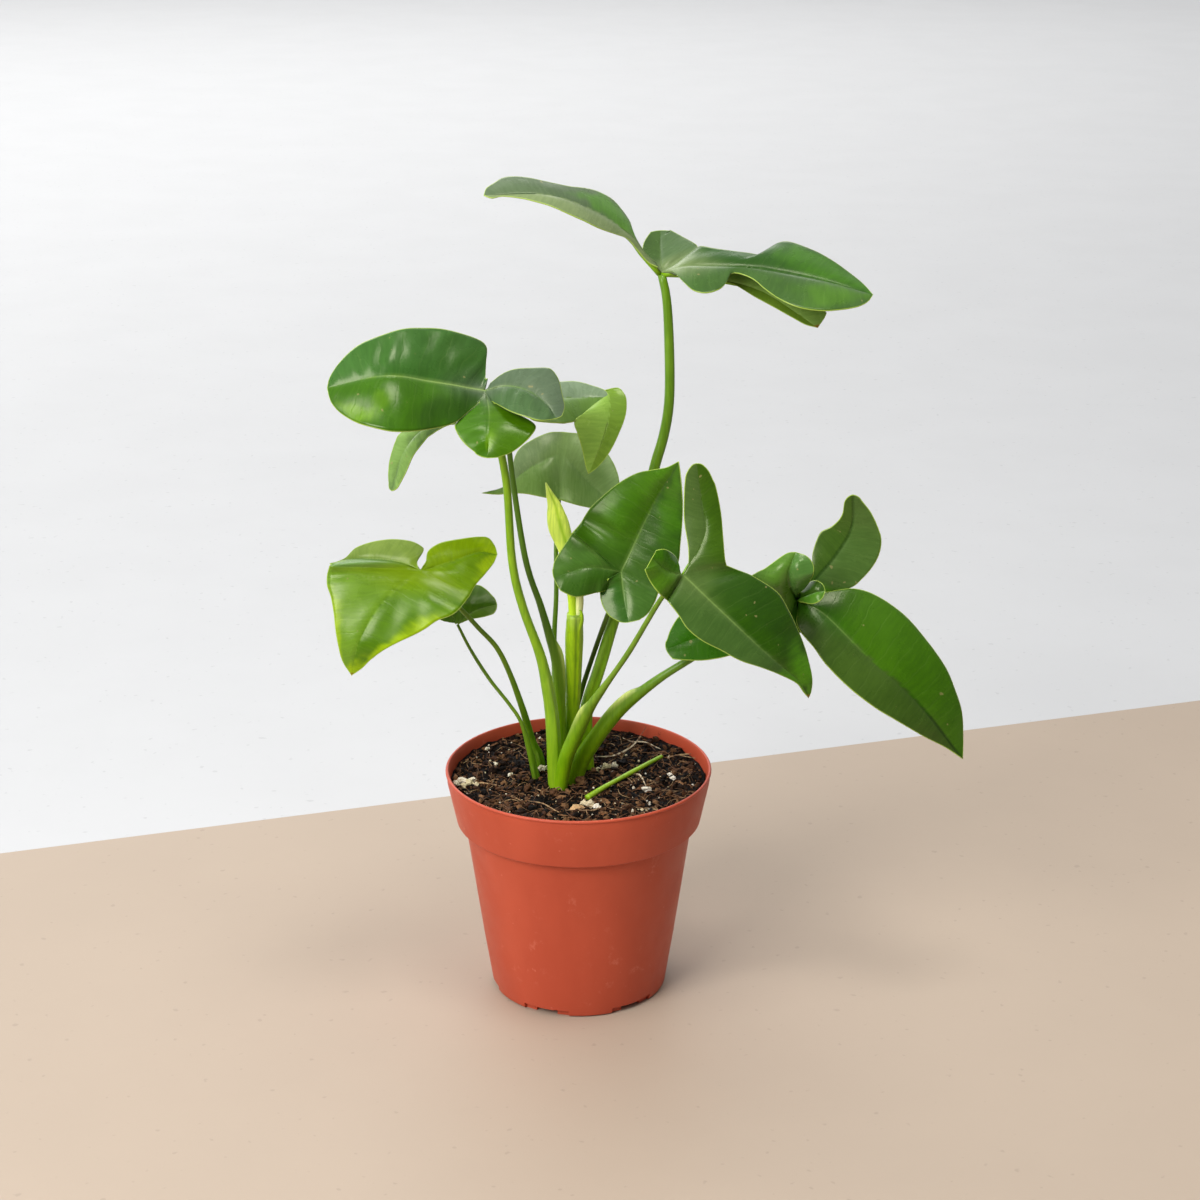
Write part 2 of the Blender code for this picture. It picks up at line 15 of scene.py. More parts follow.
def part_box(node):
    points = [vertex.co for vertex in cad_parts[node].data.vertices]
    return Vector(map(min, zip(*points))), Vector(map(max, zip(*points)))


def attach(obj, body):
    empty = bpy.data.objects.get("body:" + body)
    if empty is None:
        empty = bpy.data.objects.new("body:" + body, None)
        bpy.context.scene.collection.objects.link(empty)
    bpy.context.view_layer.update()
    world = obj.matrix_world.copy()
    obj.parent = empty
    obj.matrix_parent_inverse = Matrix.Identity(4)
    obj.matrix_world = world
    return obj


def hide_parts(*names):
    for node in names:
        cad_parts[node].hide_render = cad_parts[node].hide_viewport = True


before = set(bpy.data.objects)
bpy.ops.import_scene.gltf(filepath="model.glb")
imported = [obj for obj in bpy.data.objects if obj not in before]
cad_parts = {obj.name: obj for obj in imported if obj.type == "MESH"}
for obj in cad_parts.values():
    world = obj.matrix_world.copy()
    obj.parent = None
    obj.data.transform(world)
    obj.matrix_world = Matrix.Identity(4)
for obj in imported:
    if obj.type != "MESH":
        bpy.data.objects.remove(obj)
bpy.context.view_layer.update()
bpy.ops.object.select_all(action="DESELECT")

# ------------------------------------------------------------------------------------ the pot
# A thin-walled nursery pot, moulded in one piece from terracotta-coloured polypropylene: rolled
# lip, straight collar with an undercut ledge, tapered body, and a foot ring with drainage
# notches between small recessed tabs. The skin is satin, and lightly scuffed from the nursery.

MM = 0.001
pot_low, pot_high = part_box("pot")
AXIS = Vector(((pot_low.x + pot_high.x) / 2, (pot_low.y + pot_high.y) / 2, 0))
POT_HEIGHT = pot_high.z / MM
RIM_RADIUS = (pot_high.x - pot_low.x) / 2 / MM
COLLAR_RADIUS = RIM_RADIUS - 0.7
COLLAR_BOTTOM = 88.5
COLLAR_TOP = POT_HEIGHT - 2.6
LEDGE_RADIUS = COLLAR_RADIUS - 4.3
BODY_TOP_RADIUS = 56.1
FOOT_RADIUS = 43.3
LIP = 0.8
WALL = 1.3
FLOOR_TOP, FLOOR_BOTTOM, FLOOR_RADIUS = 4.8, 3.2, FOOT_RADIUS - 4.3
NOTCH_ANGLES = range(-112, 248, 60)
# What is cut beside each notch angle: how far round in degrees, from what radius, width, height.
NOTCH_CUTS = ((-11, FOOT_RADIUS - 2.0, 7.2, 3.2), (11, FOOT_RADIUS - 2.0, 7.2, 3.2), (0, 36, 11, 3.0))
CUT_REACH, CUT_DROP = 50, 4
DRAIN_OFFSET, DRAIN_AWAY, DRAIN_RADIUS = 30, 30, 3.5


def at(x, y, z):
    """A place given from the pot's axis and the ground, in the frame."""
    return AXIS + Vector((x, y, z)) * MM


def paint(red, green, blue):
    """A paint-chart colour, 0 to 255 a channel, as the linear colour that shaders take."""
    return tuple(((c / 255 + 0.055) / 1.055) ** 2.4 for c in (red, green, blue)) + (1,)


class Value:
    """What a shader node gives; its sums, differences and products are nodes too."""

    def __init__(self, socket):
        self.socket = socket

    def __add__(self, other):
        return add(self, "Math", 0, {0: self, 1: other}, operation="ADD")

    def __sub__(self, other):
        return add(self, "Math", 0, {0: self, 1: other}, operation="SUBTRACT")

    def __mul__(self, other):
        return add(self, "Math", 0, {0: self, 1: other}, operation="MULTIPLY")


def add(beside, kind, output, inputs=None, **settings):
    """An output of a new node, in the same tree as a value or a node."""
    tree = (beside.socket if isinstance(beside, Value) else beside).id_data
    made = tree.nodes.new("ShaderNode" + kind)
    for setting, value in settings.items():
        setattr(made, setting, value)
    for name, value in (inputs or {}).items():
        if isinstance(value, Value):
            tree.links.new(value.socket, made.inputs[name])
        else:
            made.inputs[name].default_value = value
    return Value(made.outputs[output])


def ramp(value, low, high, start=0.0, end=1.0):
    """A value eased from start to end while the input goes from low to high."""
    return add(value, "MapRange", "Result", {"Value": value, "From Min": low, "From Max": high,
                                             "To Min": start, "To Max": end},
               interpolation_type="SMOOTHSTEP")


def mixed(factor, first, second, blend="MIX"):
    """One colour over another."""
    beside = next(v for v in (factor, first, second) if isinstance(v, Value))
    return add(beside, "Mix", 2, {"Factor": factor, 6: first, 7: second}, data_type="RGBA",
               blend_type=blend)


def noise_at(place, scale, detail=3.0, roughness=0.5):
    return add(place, "TexNoise", "Fac", {"Vector": place, "Scale": scale, "Detail": detail,
                                          "Roughness": roughness})


def scaled(place, *stretch):
    return add(place, "Mapping", "Vector", {"Vector": place, "Scale": stretch})


def new_material(name, **sockets):
    """A material with the sockets that are even all over, its shader, place and painted tone."""
    made = bpy.data.materials.new(name)
    made.use_nodes = True
    shader = made.node_tree.nodes["Principled BSDF"]
    for socket, value in sockets.items():
        shader.inputs[socket.replace("_", " ")].default_value = value
    return (made, shader, add(shader, "TexCoord", "Object"),
            add(shader, "Attribute", "Color", attribute_name="tone"))


def coat(shader, colour, roughness=None, relief=None, strength=0.0, depth=0.0):
    """Feeds a shader its colour, its roughness, and the relief on its normal."""
    feeds = {"Base Color": colour, "Roughness": roughness}
    if relief:
        feeds["Normal"] = add(shader, "Bump", "Normal",
                              {"Height": relief, "Strength": strength, "Distance": depth})
    for name, value in feeds.items():
        if value:
            shader.id_data.links.new(value.socket, shader.inputs[name])


def finish_piece(piece, slot, *nodes):
    """The piece goes with the plant and hides these solids, whose place it takes; slot is not used."""
    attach(piece, "root")
    if nodes:
        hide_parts(*nodes)


def new_object(name, data):
    made = bpy.data.objects.new(name, data)
    bpy.context.scene.collection.objects.link(made)
    return made


def make_active(piece):
    bpy.ops.object.select_all(action="DESELECT")
    piece.select_set(True)
    bpy.context.view_layer.objects.active = piece


def turned(name, profile):
    """Starts a piece turned on the pot's axis: a disc, drawn out through the profile's points."""
    (radius, height), *steps = profile
    bpy.ops.mesh.primitive_circle_add(vertices=128, radius=radius * MM, fill_type="NGON",
                                      location=at(0, 0, height))
    piece = bpy.context.object
    piece.name = name
    bpy.ops.object.mode_set(mode="EDIT")
    bpy.ops.mesh.select_all(action="SELECT")
    for next_radius, next_height in steps:
        bpy.ops.mesh.extrude_edges_move(
            TRANSFORM_OT_translate={"value": (0, 0, (next_height - height) * MM)})
        scale = next_radius / radius
        bpy.ops.transform.resize(value=(scale, scale, 1), center_override=at(0, 0, next_height))
        radius, height = next_radius, next_height
    bpy.ops.mesh.edge_face_add()
    return piece


def close_turned(piece):
    """Ends a turned piece, with its place in its mesh and its object at the origin."""
    bpy.ops.mesh.select_all(action="SELECT")
    bpy.ops.mesh.normals_make_consistent(inside=False)
    bpy.ops.object.mode_set(mode="OBJECT")
    make_active(piece)
    bpy.ops.object.transform_apply(location=True, rotation=True, scale=True)


def carve(piece, cutter):
    """Cuts a shape out of a piece for good."""
    difference = piece.modifiers.new("Cut", "BOOLEAN")
    difference.operation = "DIFFERENCE"
    difference.solver = "EXACT"
    difference.object = cutter
    bpy.context.view_layer.objects.active = piece
    bpy.ops.object.modifier_apply(modifier=difference.name)
    bpy.data.objects.remove(cutter, do_unlink=True)


def bend(centre_radius, centre_height, radius, start, end, count):
    """Profile points round a moulded bend, angles in degrees."""
    steps = [math.radians(start + (end - start) * n / (count - 1)) for n in range(count)]
    return [(centre_radius + radius * math.cos(a), centre_height + radius * math.sin(a))
            for a in steps]


pot = turned("nursery_pot", [
    (FLOOR_RADIUS, FLOOR_BOTTOM), (FOOT_RADIUS - 4.2, 0.3), (FOOT_RADIUS - 3.9, 0.0),
    *bend(FOOT_RADIUS - 1.5, 1.5, 1.5, -90, -8, 6),
    (FOOT_RADIUS + 4.0, 27.0), (BODY_TOP_RADIUS - 0.25, COLLAR_BOTTOM - 1.0),
    (BODY_TOP_RADIUS, COLLAR_BOTTOM), (LEDGE_RADIUS - 1.1, COLLAR_BOTTOM - 0.3),
    *bend(LEDGE_RADIUS - 0.9, COLLAR_BOTTOM + 0.6, 0.9, -85, -6, 6),
    (COLLAR_RADIUS - 0.1, COLLAR_TOP - 3), (COLLAR_RADIUS, COLLAR_TOP - 0.5),
    *bend(RIM_RADIUS - LIP, POT_HEIGHT - LIP, LIP, -80, 130, 12),
    (COLLAR_RADIUS - WALL, POT_HEIGHT - 1.6), (COLLAR_RADIUS - WALL - 0.1, COLLAR_TOP - 2),
    (LEDGE_RADIUS - WALL, COLLAR_BOTTOM + 2), (BODY_TOP_RADIUS - WALL, COLLAR_BOTTOM + WALL),
    (BODY_TOP_RADIUS - WALL - 0.2, COLLAR_BOTTOM), (FOOT_RADIUS - WALL + 0.8, FLOOR_TOP)])
close_turned(pot)

for angle in NOTCH_ANGLES:
    for aside, inner, width, top in NOTCH_CUTS:
        facing = math.radians(angle) + math.radians(aside)
        reach = Vector((math.cos(facing), math.sin(facing), 0))
        bpy.ops.mesh.primitive_cube_add(size=1, rotation=(0, 0, facing))
        block = bpy.context.object
        block.scale = Vector((CUT_REACH - inner, width, top + CUT_DROP)) * MM
        block.location = (AXIS + reach * (inner + CUT_REACH) / 2 * MM
                          + Vector((0, 0, (top - CUT_DROP) / 2 * MM)))
        carve(pot, block)
    turn = math.radians(angle) + math.radians(DRAIN_OFFSET)
    hole = AXIS + Vector((math.cos(turn), math.sin(turn), 0)) * DRAIN_AWAY * MM + Vector((0, 0, 4 * MM))
    bpy.ops.mesh.primitive_cylinder_add(vertices=32, radius=DRAIN_RADIUS * MM, depth=6 * MM, location=hole)
    carve(pot, bpy.context.object)
make_active(pot)
bpy.ops.object.shade_smooth_by_angle(angle=math.radians(28))

plastic, shader, place, _ = new_material("terracotta_plastic", IOR=1.49, Specular_IOR_Level=0.32)
centred = add(place, "Mapping", "Vector", {"Vector": place, "Location": -AXIS})
cloudy = ramp(noise_at(scaled(centred, 1, 1, 0.45), 24, 4), 0.35, 0.7)
body_colour = mixed(cloudy, paint(180, 73, 47), paint(191, 81, 54))
grain = noise_at(centred, 900, 2)
smear_shape = noise_at(centred, 110, 6, 0.75)
smears = ramp(smear_shape, 0.55, 0.72) * ramp(noise_at(centred, 30, 2), 0.46, 0.62, 0.0, 0.5)
specks = ramp(noise_at(centred, 420, 2, 0.4), 0.74, 0.80, 0.0, 0.35)
scuffs = add(smears, "Math", 0, {0: smears, 1: specks}, operation="MAXIMUM")
scuffed = mixed(scuffs, body_colour, paint(220, 132, 108))
# Peat dust clings to the inside of the wall, most just over the soil, with one smudge.
height = add(place, "SeparateXYZ", "Z", {"Vector": place})
radius = add(place, "VectorMath", "Value", {0: scaled(centred, 1, 1, 0)}, operation="LENGTH")
inside = ramp(radius, 0.0625, 0.0621) * ramp(height, 0.1040, 0.1050)
peat_dust = (inside * ramp(height, 0.1135, 0.1060, 0.06, 0.85)
             * ramp(noise_at(centred, 190, 5, 0.7), 0.42, 0.66, 0.12, 1.0))
spot_away = add(place, "VectorMath", "Value", {0: place, 1: at(39.5, 46.5, 111.5)}, operation="DISTANCE")
smudge = ramp(spot_away + grain * 0.003, 0.0042, 0.0022, 0.0, 0.75)
dirt = add(smudge, "Math", 0, {0: peat_dust, 1: smudge}, operation="MAXIMUM")
# The inside of the wall above the soil is painted darker than the outside: painted shade.
shaded = mixed(inside * 0.30, scuffed, paint(140, 48, 34))
coat(shader, mixed(dirt, shaded, paint(60, 30, 22)), ramp(noise_at(centred, 60, 4), 0.3, 0.7, 0.40, 0.52),
     grain + smear_shape * 0.8, 0.10, 0.0004)
pot.data.materials.clear()
pot.data.materials.append(plastic)
finish_piece(pot, "terracotta_plastic", "pot")

# ----------------------------------------------------------------------------------- the soil
# Moist peat mix, pressed in to just under the rim, and a little higher along the wall. Its
# surface is loose: crumbs, bark chips, coir fibres, white perlite and a few pale dry roots.

SOIL_RADIUS = COLLAR_RADIUS - WALL - 0.75
SOIL_EDGE = 108.6
SOIL_MIDDLE = 105.9
SOIL_PLAY = WALL + 0.6          # how much narrower than the pot's outside the soil is
INSETS, INSET = 60, 0.98        # rings of faces over the soil's surface, and their width
dice = random.Random(11)


def soil_height(x, y):
    """Height of the soil's surface at a place round the pot's axis."""
    away = math.hypot(x, y) / SOIL_RADIUS
    spot = Vector((x, y, 0))
    lumps = noise.fractal(spot * 0.11, 1.0, 2.0, 4) + 0.6 * noise.noise(spot * 0.3)
    back_heap = 0.9 * max(0.0, min(1.0, (y - x * 0.4) / 60))
    return SOIL_MIDDLE + (SOIL_EDGE - SOIL_MIDDLE - 0.6) * away ** 2.2 + back_heap * away + 1.5 * lumps


soil = turned("peat", [
    (FOOT_RADIUS - SOIL_PLAY, FLOOR_TOP + 0.4), (BODY_TOP_RADIUS - SOIL_PLAY, COLLAR_BOTTOM + 1),
    (LEDGE_RADIUS - SOIL_PLAY, COLLAR_BOTTOM + 2), (SOIL_RADIUS, SOIL_EDGE - 3), (SOIL_RADIUS, SOIL_EDGE)])
for ring in range(INSETS):
    bpy.ops.mesh.inset(thickness=INSET * MM)
bpy.ops.mesh.poke()
close_turned(soil)
for vertex in soil.data.vertices:
    if vertex.co.z > (SOIL_EDGE - 0.1) * MM:
        x, y = (vertex.co.x - AXIS.x) / MM, (vertex.co.y - AXIS.y) / MM
        vertex.co.z = soil_height(x, y) * MM
bpy.ops.object.shade_smooth()


def crumb_shape(faces_level, rough=0.45):
    """Corners and faces of one angular crumb, about 1 across."""
    bpy.ops.mesh.primitive_ico_sphere_add(subdivisions=faces_level, radius=0.5)
    lump = bpy.context.object
    corners = [v.co * (1 + rough * noise.noise(v.co * 3.1 + Vector((faces_level, 0, 0))))
               for v in lump.data.vertices]
    faces = [tuple(face.vertices) for face in lump.data.polygons]
    bpy.data.objects.remove(lump, do_unlink=True)
    return corners, faces


def scatter(name, pieces, finish):
    """One mesh of many small pieces, each (shape, place, turn, stretch, shade)."""
    corners, faces, shades = [], [], []
    for (shape, shape_faces), spot, turn, stretch, shade in pieces:
        first = len(corners)
        for corner in shape:
            corners.append(at(*(spot + turn @ Vector(a * b for a, b in zip(corner, Vector(stretch))))))
            shades.append(shade)
        faces += [tuple(first + index for index in face) for face in shape_faces]
    mesh = bpy.data.meshes.new(name)
    mesh.from_pydata(corners, [], faces)
    tint(mesh, shades)
    mesh.materials.append(finish)
    finish_piece(new_object(name, mesh), "peat_soil")


def tint(mesh, shades):
    """Paints a mesh's corners."""
    tone = mesh.attributes.new("tone", "FLOAT_COLOR", "POINT")
    for item, shade in zip(tone.data, shades):
        item.color = shade


def any_turn(least=0, most=3.14):
    return (Matrix.Rotation(dice.uniform(0, 6.28), 3, "Z")
            @ Matrix.Rotation(dice.uniform(least, most), 3, "X"))


def on_soil(rise=0.0, reach=SOIL_RADIUS - 1.5):
    """A place anywhere on the soil's surface."""
    angle, away = dice.uniform(0, 6.2832), reach * math.sqrt(dice.random())
    x, y = away * math.cos(angle), away * math.sin(angle)
    return Vector((x, y, soil_height(x, y) + rise))


PEATS = [paint(57, 34, 20), paint(76, 48, 30), paint(98, 66, 42), paint(132, 95, 62), paint(40, 24, 15),
         paint(22, 14, 8), paint(15, 9, 5)]
BARKS = [paint(120, 80, 50), paint(150, 108, 72), paint(88, 58, 38)]
clod, coarse, fine = crumb_shape(3), crumb_shape(2), crumb_shape(1)
crumbs = []
# How many there are of each shape, and their least and greatest size.
for count, shape, small, large in ((12, clod, 4.5, 7.5), (800, coarse, 1.6, 4.2), (8000, fine, 0.45, 1.8)):
    for _ in range(count):
        size = small * (large / small) ** (dice.random() ** 1.5)
        stretch = (size, size * dice.uniform(0.6, 1), size * dice.uniform(0.4, 0.8))
        crumbs.append((shape, on_soil(size * 0.22), any_turn(), stretch, dice.choice(PEATS)))
for _ in range(150):
    length = dice.uniform(2.0, 6.5)
    turn = any_turn(-0.5, 0.5)
    crumbs.append((coarse, on_soil(0.5), turn, (length, length * 0.4, 0.8), dice.choice(BARKS)))

peat_finish, shader, place, tone = new_material("peat_soil", Specular_IOR_Level=0.12)
mottled = noise_at(place, 700, 5, 0.7)
coat(shader, mixed(ramp(mottled, 0.3, 0.7), mixed(0.7, tone, (0, 0, 0, 1)), tone),
     ramp(noise_at(place, 300, 2), 0.35, 0.7, 0.62, 0.95), mottled, 0.9, 0.0006)
# The soil's own surface under the crumbs takes the darkest peat colour, near-black: painted shade in the
# gaps between crumbs.
tint(soil.data, [PEATS[6]] * len(soil.data.vertices))
soil.data.materials.clear()
soil.data.materials.append(peat_finish)
finish_piece(soil, "peat_soil", "soil")
scatter("peat_crumbs", [crumb for crumb in crumbs if crumb[0] is not fine], peat_finish)
scatter("peat_grains", [crumb for crumb in crumbs if crumb[0] is fine], peat_finish)

# Perlite: white popped grains, with two clumps and a tan chip that lie where the plant was set.
# Each grain's place and size:
PERLITE_SPOTS = [(-57.2, -5.2, 5.4), (-53.4, -6.9, 4.8), (-59.6, -9.6, 3.8), (-51.6, -3.2, 3.6),
                 (-55.6, -11.4, 3.4), (-49.8, -7.4, 3.0), (-41.6, 16.4, 3.0), (-33.8, 6.5, 2.8),
                 (-18.2, 12.6, 4.2), (5.7, -30.6, 4.6), (8.8, -32.8, 3.8), (2.6, -29.0, 3.2),
                 (9.5, 15.1, 3.4), (13.5, 15.0, 4.2), (17.6, 17.6, 3.4), (32.8, -13.4, 4.0),
                 (34.6, -11.0, 2.8), (45.0, 5.2, 2.6), (46.3, 0.3, 3.0), (26.0, -38.6, 1.8),
                 (28.4, -37.2, 2.0), (30.6, -36.4, 1.7), (32.6, -35.6, 1.5), (-46.3, 34.1, 2.6),
                 (-20, 49.6, 2.2)]
PERLITES = [paint(232, 224, 202), paint(220, 206, 172), paint(206, 196, 156), paint(240, 234, 220)]
CHIP = (-0.5, -37.0)
popped = crumb_shape(2, 0.9)
grains = []
for x, y, size in PERLITE_SPOTS:
    spot = Vector((x, y, soil_height(x, y) + size * 0.35))
    stretch = (size, size * dice.uniform(0.7, 1), size * dice.uniform(0.6, 0.9))
    grains.append((popped, spot, any_turn(), stretch, dice.choice(PERLITES)))
for _ in range(150):
    size = dice.uniform(0.4, 1.4)
    grains.append((coarse, on_soil(size * 0.5), any_turn(), (size, size, size * 0.8),
                   dice.choice(PERLITES)))
grains.append((crumb_shape(2), Vector((*CHIP, soil_height(*CHIP) + 1.8)), Matrix.Rotation(0.4, 3, "Z"),
               (6.4, 4.6, 4.2), paint(206, 158, 108)))
perlite_finish, shader, place, tone = new_material("perlite", Roughness=0.85, Specular_IOR_Level=0.3)
pitted = noise_at(place, 1300, 4, 0.7)
coat(shader, mixed(ramp(pitted, 0.3, 0.62), paint(176, 152, 112), tone), None, pitted, 0.8, 0.0005)
scatter("perlite", grains, perlite_finish)

# Dry roots and coir fibres: thin curved strands that lie on the crumbs.


def smooth_curve(points, count):
    """Points spaced evenly in distance along a smooth curve through the given ones."""
    nodes = [Vector(p) for p in points]
    distance = [0.0]
    for a, b in zip(nodes, nodes[1:]):
        distance.append(distance[-1] + (b - a).length)
    padded = [2 * nodes[0] - nodes[1]] + nodes + [2 * nodes[-1] - nodes[-2]]
    result = []
    span = 0
    for step in range(count):
        along = distance[-1] * step / (count - 1)
        while span < len(nodes) - 2 and along > distance[span + 1]:
            span += 1
        u = (along - distance[span]) / (distance[span + 1] - distance[span])
        p0, p1, p2, p3 = padded[span:span + 4]
        result.append(0.5 * (2 * p1 + (p2 - p0) * u + (2 * p0 - 5 * p1 + 4 * p2 - p3) * u * u
                             + (3 * p1 - p0 - 3 * p2 + p3) * u ** 3))
    return result


def skin_ring(form, tone, place, side, other, outline, shades):
    """One ring of skin round a place, from (across, over) pairs."""
    ring = [form.verts.new(at(*(place + side * x + other * y))) for x, y in outline]
    for corner, shade in zip(ring, shades):
        corner[tone] = shade
    return ring


def join_rings(form, rings):
    """Skins the rings and closes both ends."""
    for lower, upper in zip(rings, rings[1:]):
        for n in range(len(lower)):
            form.faces.new((lower[n - 1], lower[n], upper[n], upper[n - 1]))
    form.faces.new(rings[0][::-1])
    form.faces.new(rings[-1])


def new_form():
    """An empty mesh in the making, with its painted tone."""
    form = bmesh.new()
    return form, form.verts.layers.float_color.new("tone")


def add_piece(name, form, *finishes, smooth=True):
    """Makes the finished form an object of the plant."""
    mesh = bpy.data.meshes.new(name)
    form.to_mesh(mesh)
    form.free()
    for finish in finishes:
        mesh.materials.append(finish)
    for face in mesh.polygons:
        face.use_smooth = smooth
    return new_object(name, mesh)


STRAND_STEPS = 12


def strand(form, tone, points, thickness, shade):
    """A thin four-sided strand over the soil, tapering to both ends."""
    places = smooth_curve([(x, y, soil_height(x, y) + rise) for x, y, rise in points], STRAND_STEPS)
    rings = []
    for index, place in enumerate(places):
        ahead = (places[min(index + 1, STRAND_STEPS - 1)] - places[max(index - 1, 0)]).normalized()
        side = ahead.cross(Vector((0.1, 0.2, 1))).normalized()
        size = thickness * (0.35 + 0.65 * math.sin(math.pi * (index + 0.6) / (STRAND_STEPS + 0.2)))
        outline = [(math.cos(a) * size, math.sin(a) * size) for a in (0, 1.571, 3.142, 4.712)]
        rings.append(skin_ring(form, tone, place, side, ahead.cross(side), outline, [shade] * 4))
    join_rings(form, rings)


ROOT_SHADE, FIBRE_SHADE, STRAW_SHADE = paint(226, 208, 176), paint(110, 74, 48), paint(178, 146, 104)
# Each root's points, with how far they stand above the soil, its thickness and its shade.
ROOTS = (
    ([(8, 27, 1.2), (17, 29, 1.6), (26, 36, 2.4), (31, 46, 3.4)], 0.55, ROOT_SHADE),
    ([(22, 45, 3.4), (27, 42, 3), (33, 41, 2.2), (41, 36, 1.2)], 0.4, ROOT_SHADE),
    ([(30, 45, 3), (32.5, 48.5, 4.2), (34, 50.5, 6.5)], 0.3, paint(150, 84, 62)),
    ([(24, 5.5, 1.2), (28, 5, 2), (30.5, -1, 2.4), (32.8, -12, 2)], 0.5, ROOT_SHADE),
    ([(20, 6, 1.2), (25, 0, 1.2), (27, -8, 1.2)], 0.3, STRAW_SHADE),
    ([(-53, -6, 1.2), (-46, -6.5, 1.2), (-38, -8.5, 1.2)], 0.45, STRAW_SHADE),
    ([(-6, -38.6, 1.2), (2, -40, 1.2), (8, -38, 1.2), (11, -30, 1.2)], 0.42, paint(176, 146, 108)),
    ([(-24, -26, 1.2), (-17, -29, 1.2), (-11, -36, 1.2), (-9, -41, 1.2)], 0.36, STRAW_SHADE),
    ([(44, 22, 1.2), (50, 26, 2.6), (56, 24, 3)], 0.35, STRAW_SHADE),
    ([(48, 28, 1.2), (53, 24, 2), (58, 20, 2)], 0.3, STRAW_SHADE))
form, tone = new_form()
for root in ROOTS:
    strand(form, tone, *root)
for _ in range(420):
    start = on_soil(0.7, SOIL_RADIUS - 4)
    heading, length = dice.uniform(0, 6.28), dice.uniform(3, 13)
    middle_turn = heading + dice.uniform(-0.5, 0.5)
    middle = (start.x + math.cos(middle_turn) * length / 2, start.y + math.sin(middle_turn) * length / 2)
    end = (start.x + math.cos(heading) * length, start.y + math.sin(heading) * length)
    if math.hypot(*end) < SOIL_RADIUS - 2:
        route = ((start.x, start.y, 0.6), (*middle, dice.uniform(0.8, 1.9)), (*end, dice.uniform(0.3, 1.6)))
        strand(form, tone, route, dice.uniform(0.1, 0.22),
               dice.choice((FIBRE_SHADE, STRAW_SHADE, BARKS[0])))
fibre_finish, shader, place, fibre_tone = new_material("dry_fibre", Roughness=0.8, Specular_IOR_Level=0.25)
coat(shader, mixed(ramp(noise_at(place, 500, 3), 0.35, 0.65), paint(104, 78, 56), fibre_tone))
finish_piece(add_piece("dry_roots", form, fibre_finish, smooth=False), "peat_soil")

# --------------------------------------------------------------------------------- the stalks
# Living petioles, smooth, firm and slightly glossy. Each rises out of the crown as a flattened,
# paler sheath, draws in to a thin round stalk, and thickens again where its blade's ribs meet.

# Each stalk's route, in threes, and its radii along it.
STALKS = {
    "petiole_top": ([4, 17, 106.2, 3.5, 16.5, 122, 4, 16.5, 139, 10, 16.5, 159, 17, 19, 183, 30, 24, 228,
        36.5, 27, 258, 41, 29, 274, 43.5, 30, 291, 43.4, 32, 315, 42, 33.5, 339],
        [3.6, 3.3, 3, 2.9, 2.7, 2.6, 2.5, 2.4, 2.3]),
    "petiole_upper_left": ([-11.3, -6, 106.2, -11.8, -6, 126, -12.8, -6, 144, -14.8, -7, 159, -18, -9, 176,
        -26, -13, 202, -30.6, -16, 226, -32.8, -21, 267, -39, -23, 300],
        [3.5, 3.6, 3.1, 2.3, 2.1, 2, 1.9, 1.8]),
    "petiole_upper_back": ([-10.5, 8.5, 106.2, -9.8, 8, 129, -9.5, 5.5, 147, -10.5, 4, 167, -14, 3, 182,
        -18, 3, 197, -25, 4, 220, -31, 7, 261, -33, 9, 285], [3.7, 3.4, 2.8, 2.3, 1.6, 1.5, 1.4, 1.3]),
    "petiole_back": ([-13, 20.5, 106.2, -13, 20, 133, -12, 22, 151, -12, 27, 172, -11, 33, 192, -11, 42,
        217, -9, 47.5, 245], [2.6, 2.2, 1.5, 1.3, 1.2, 1.1, 1.1, 1]),
    "petiole_centre": ([-1, 25.5, 106.2, -1.5, 25, 129, 1, 22, 144, 7, 19, 165, 14, 13, 188, 20, 6.5, 206],
        [2.2, 1.9, 1.4, 1.3, 1.2, 1.2, 1.2, 1.1]),
    "petiole_front_right": ([-8.5, -8, 106.6, -7.6, -9, 115, -4.8, -11, 127, 0.6, -15, 141, 5.8, -20, 154,
        11.3, -24, 164, 23.7, -32, 186, 39, -42, 217], [3.1, 3.5, 3.5, 2.8, 1.5, 1.4, 1.3, 1.2]),
    "petiole_right": ([-1.8, 2, 106.9, 0.4, 1.2, 115, 8.4, -3.4, 131, 20.2, -9, 148.2, 36, -14, 164, 50,
        -14.5, 174, 77, -11, 190], [4.3, 4.3, 3.9, 3.1, 2.1, 1.9, 1.8, 1.7]),
    "petiole_lower_left": ([-19, 20, 106.5, -20, 18.5, 113, -23, 16, 121, -27, 9, 140, -33, 2, 162, -39,
        -4, 178, -47, -10, 190, -55, -14, 201, -64, -20, 213], [2.2, 2, 1.8, 1.5, 1.3, 1.2, 1.1, 1]),
    "petiole_small": ([-21, 5, 106.2, -24, 3, 122, -28, 2, 137, -34, 2, 147, -43, 3, 159, -52, 6, 173],
        [2.1, 1.8, 1.5, 1, 0.9, 0.9, 0.9, 0.8]),
    "sheath_new_leaf": ([-4.5, 15, 106.2, -3.5, 13, 125, -2.7, 10, 146, -2.1, 6, 172, -1.6, 2, 193],
        [4, 3.9, 3.7, 3.5, 3.6, 3.9, 4.2, 4.4, 3.8]),
    "petiole_cut_off": ([4.4, -22.5, 107.8, 13.6, -10, 108.4, 27.4, 7, 109, 41.2, 24, 109.4],
        [1.5, 1.4, 1.2, 1.15, 1.2, 1.15, 1.1, 1]),
}
STALK_STEPS, STALK_SIDES = 64, 20
STALK_SUNK = 7                  # how far a stalk goes on under the soil
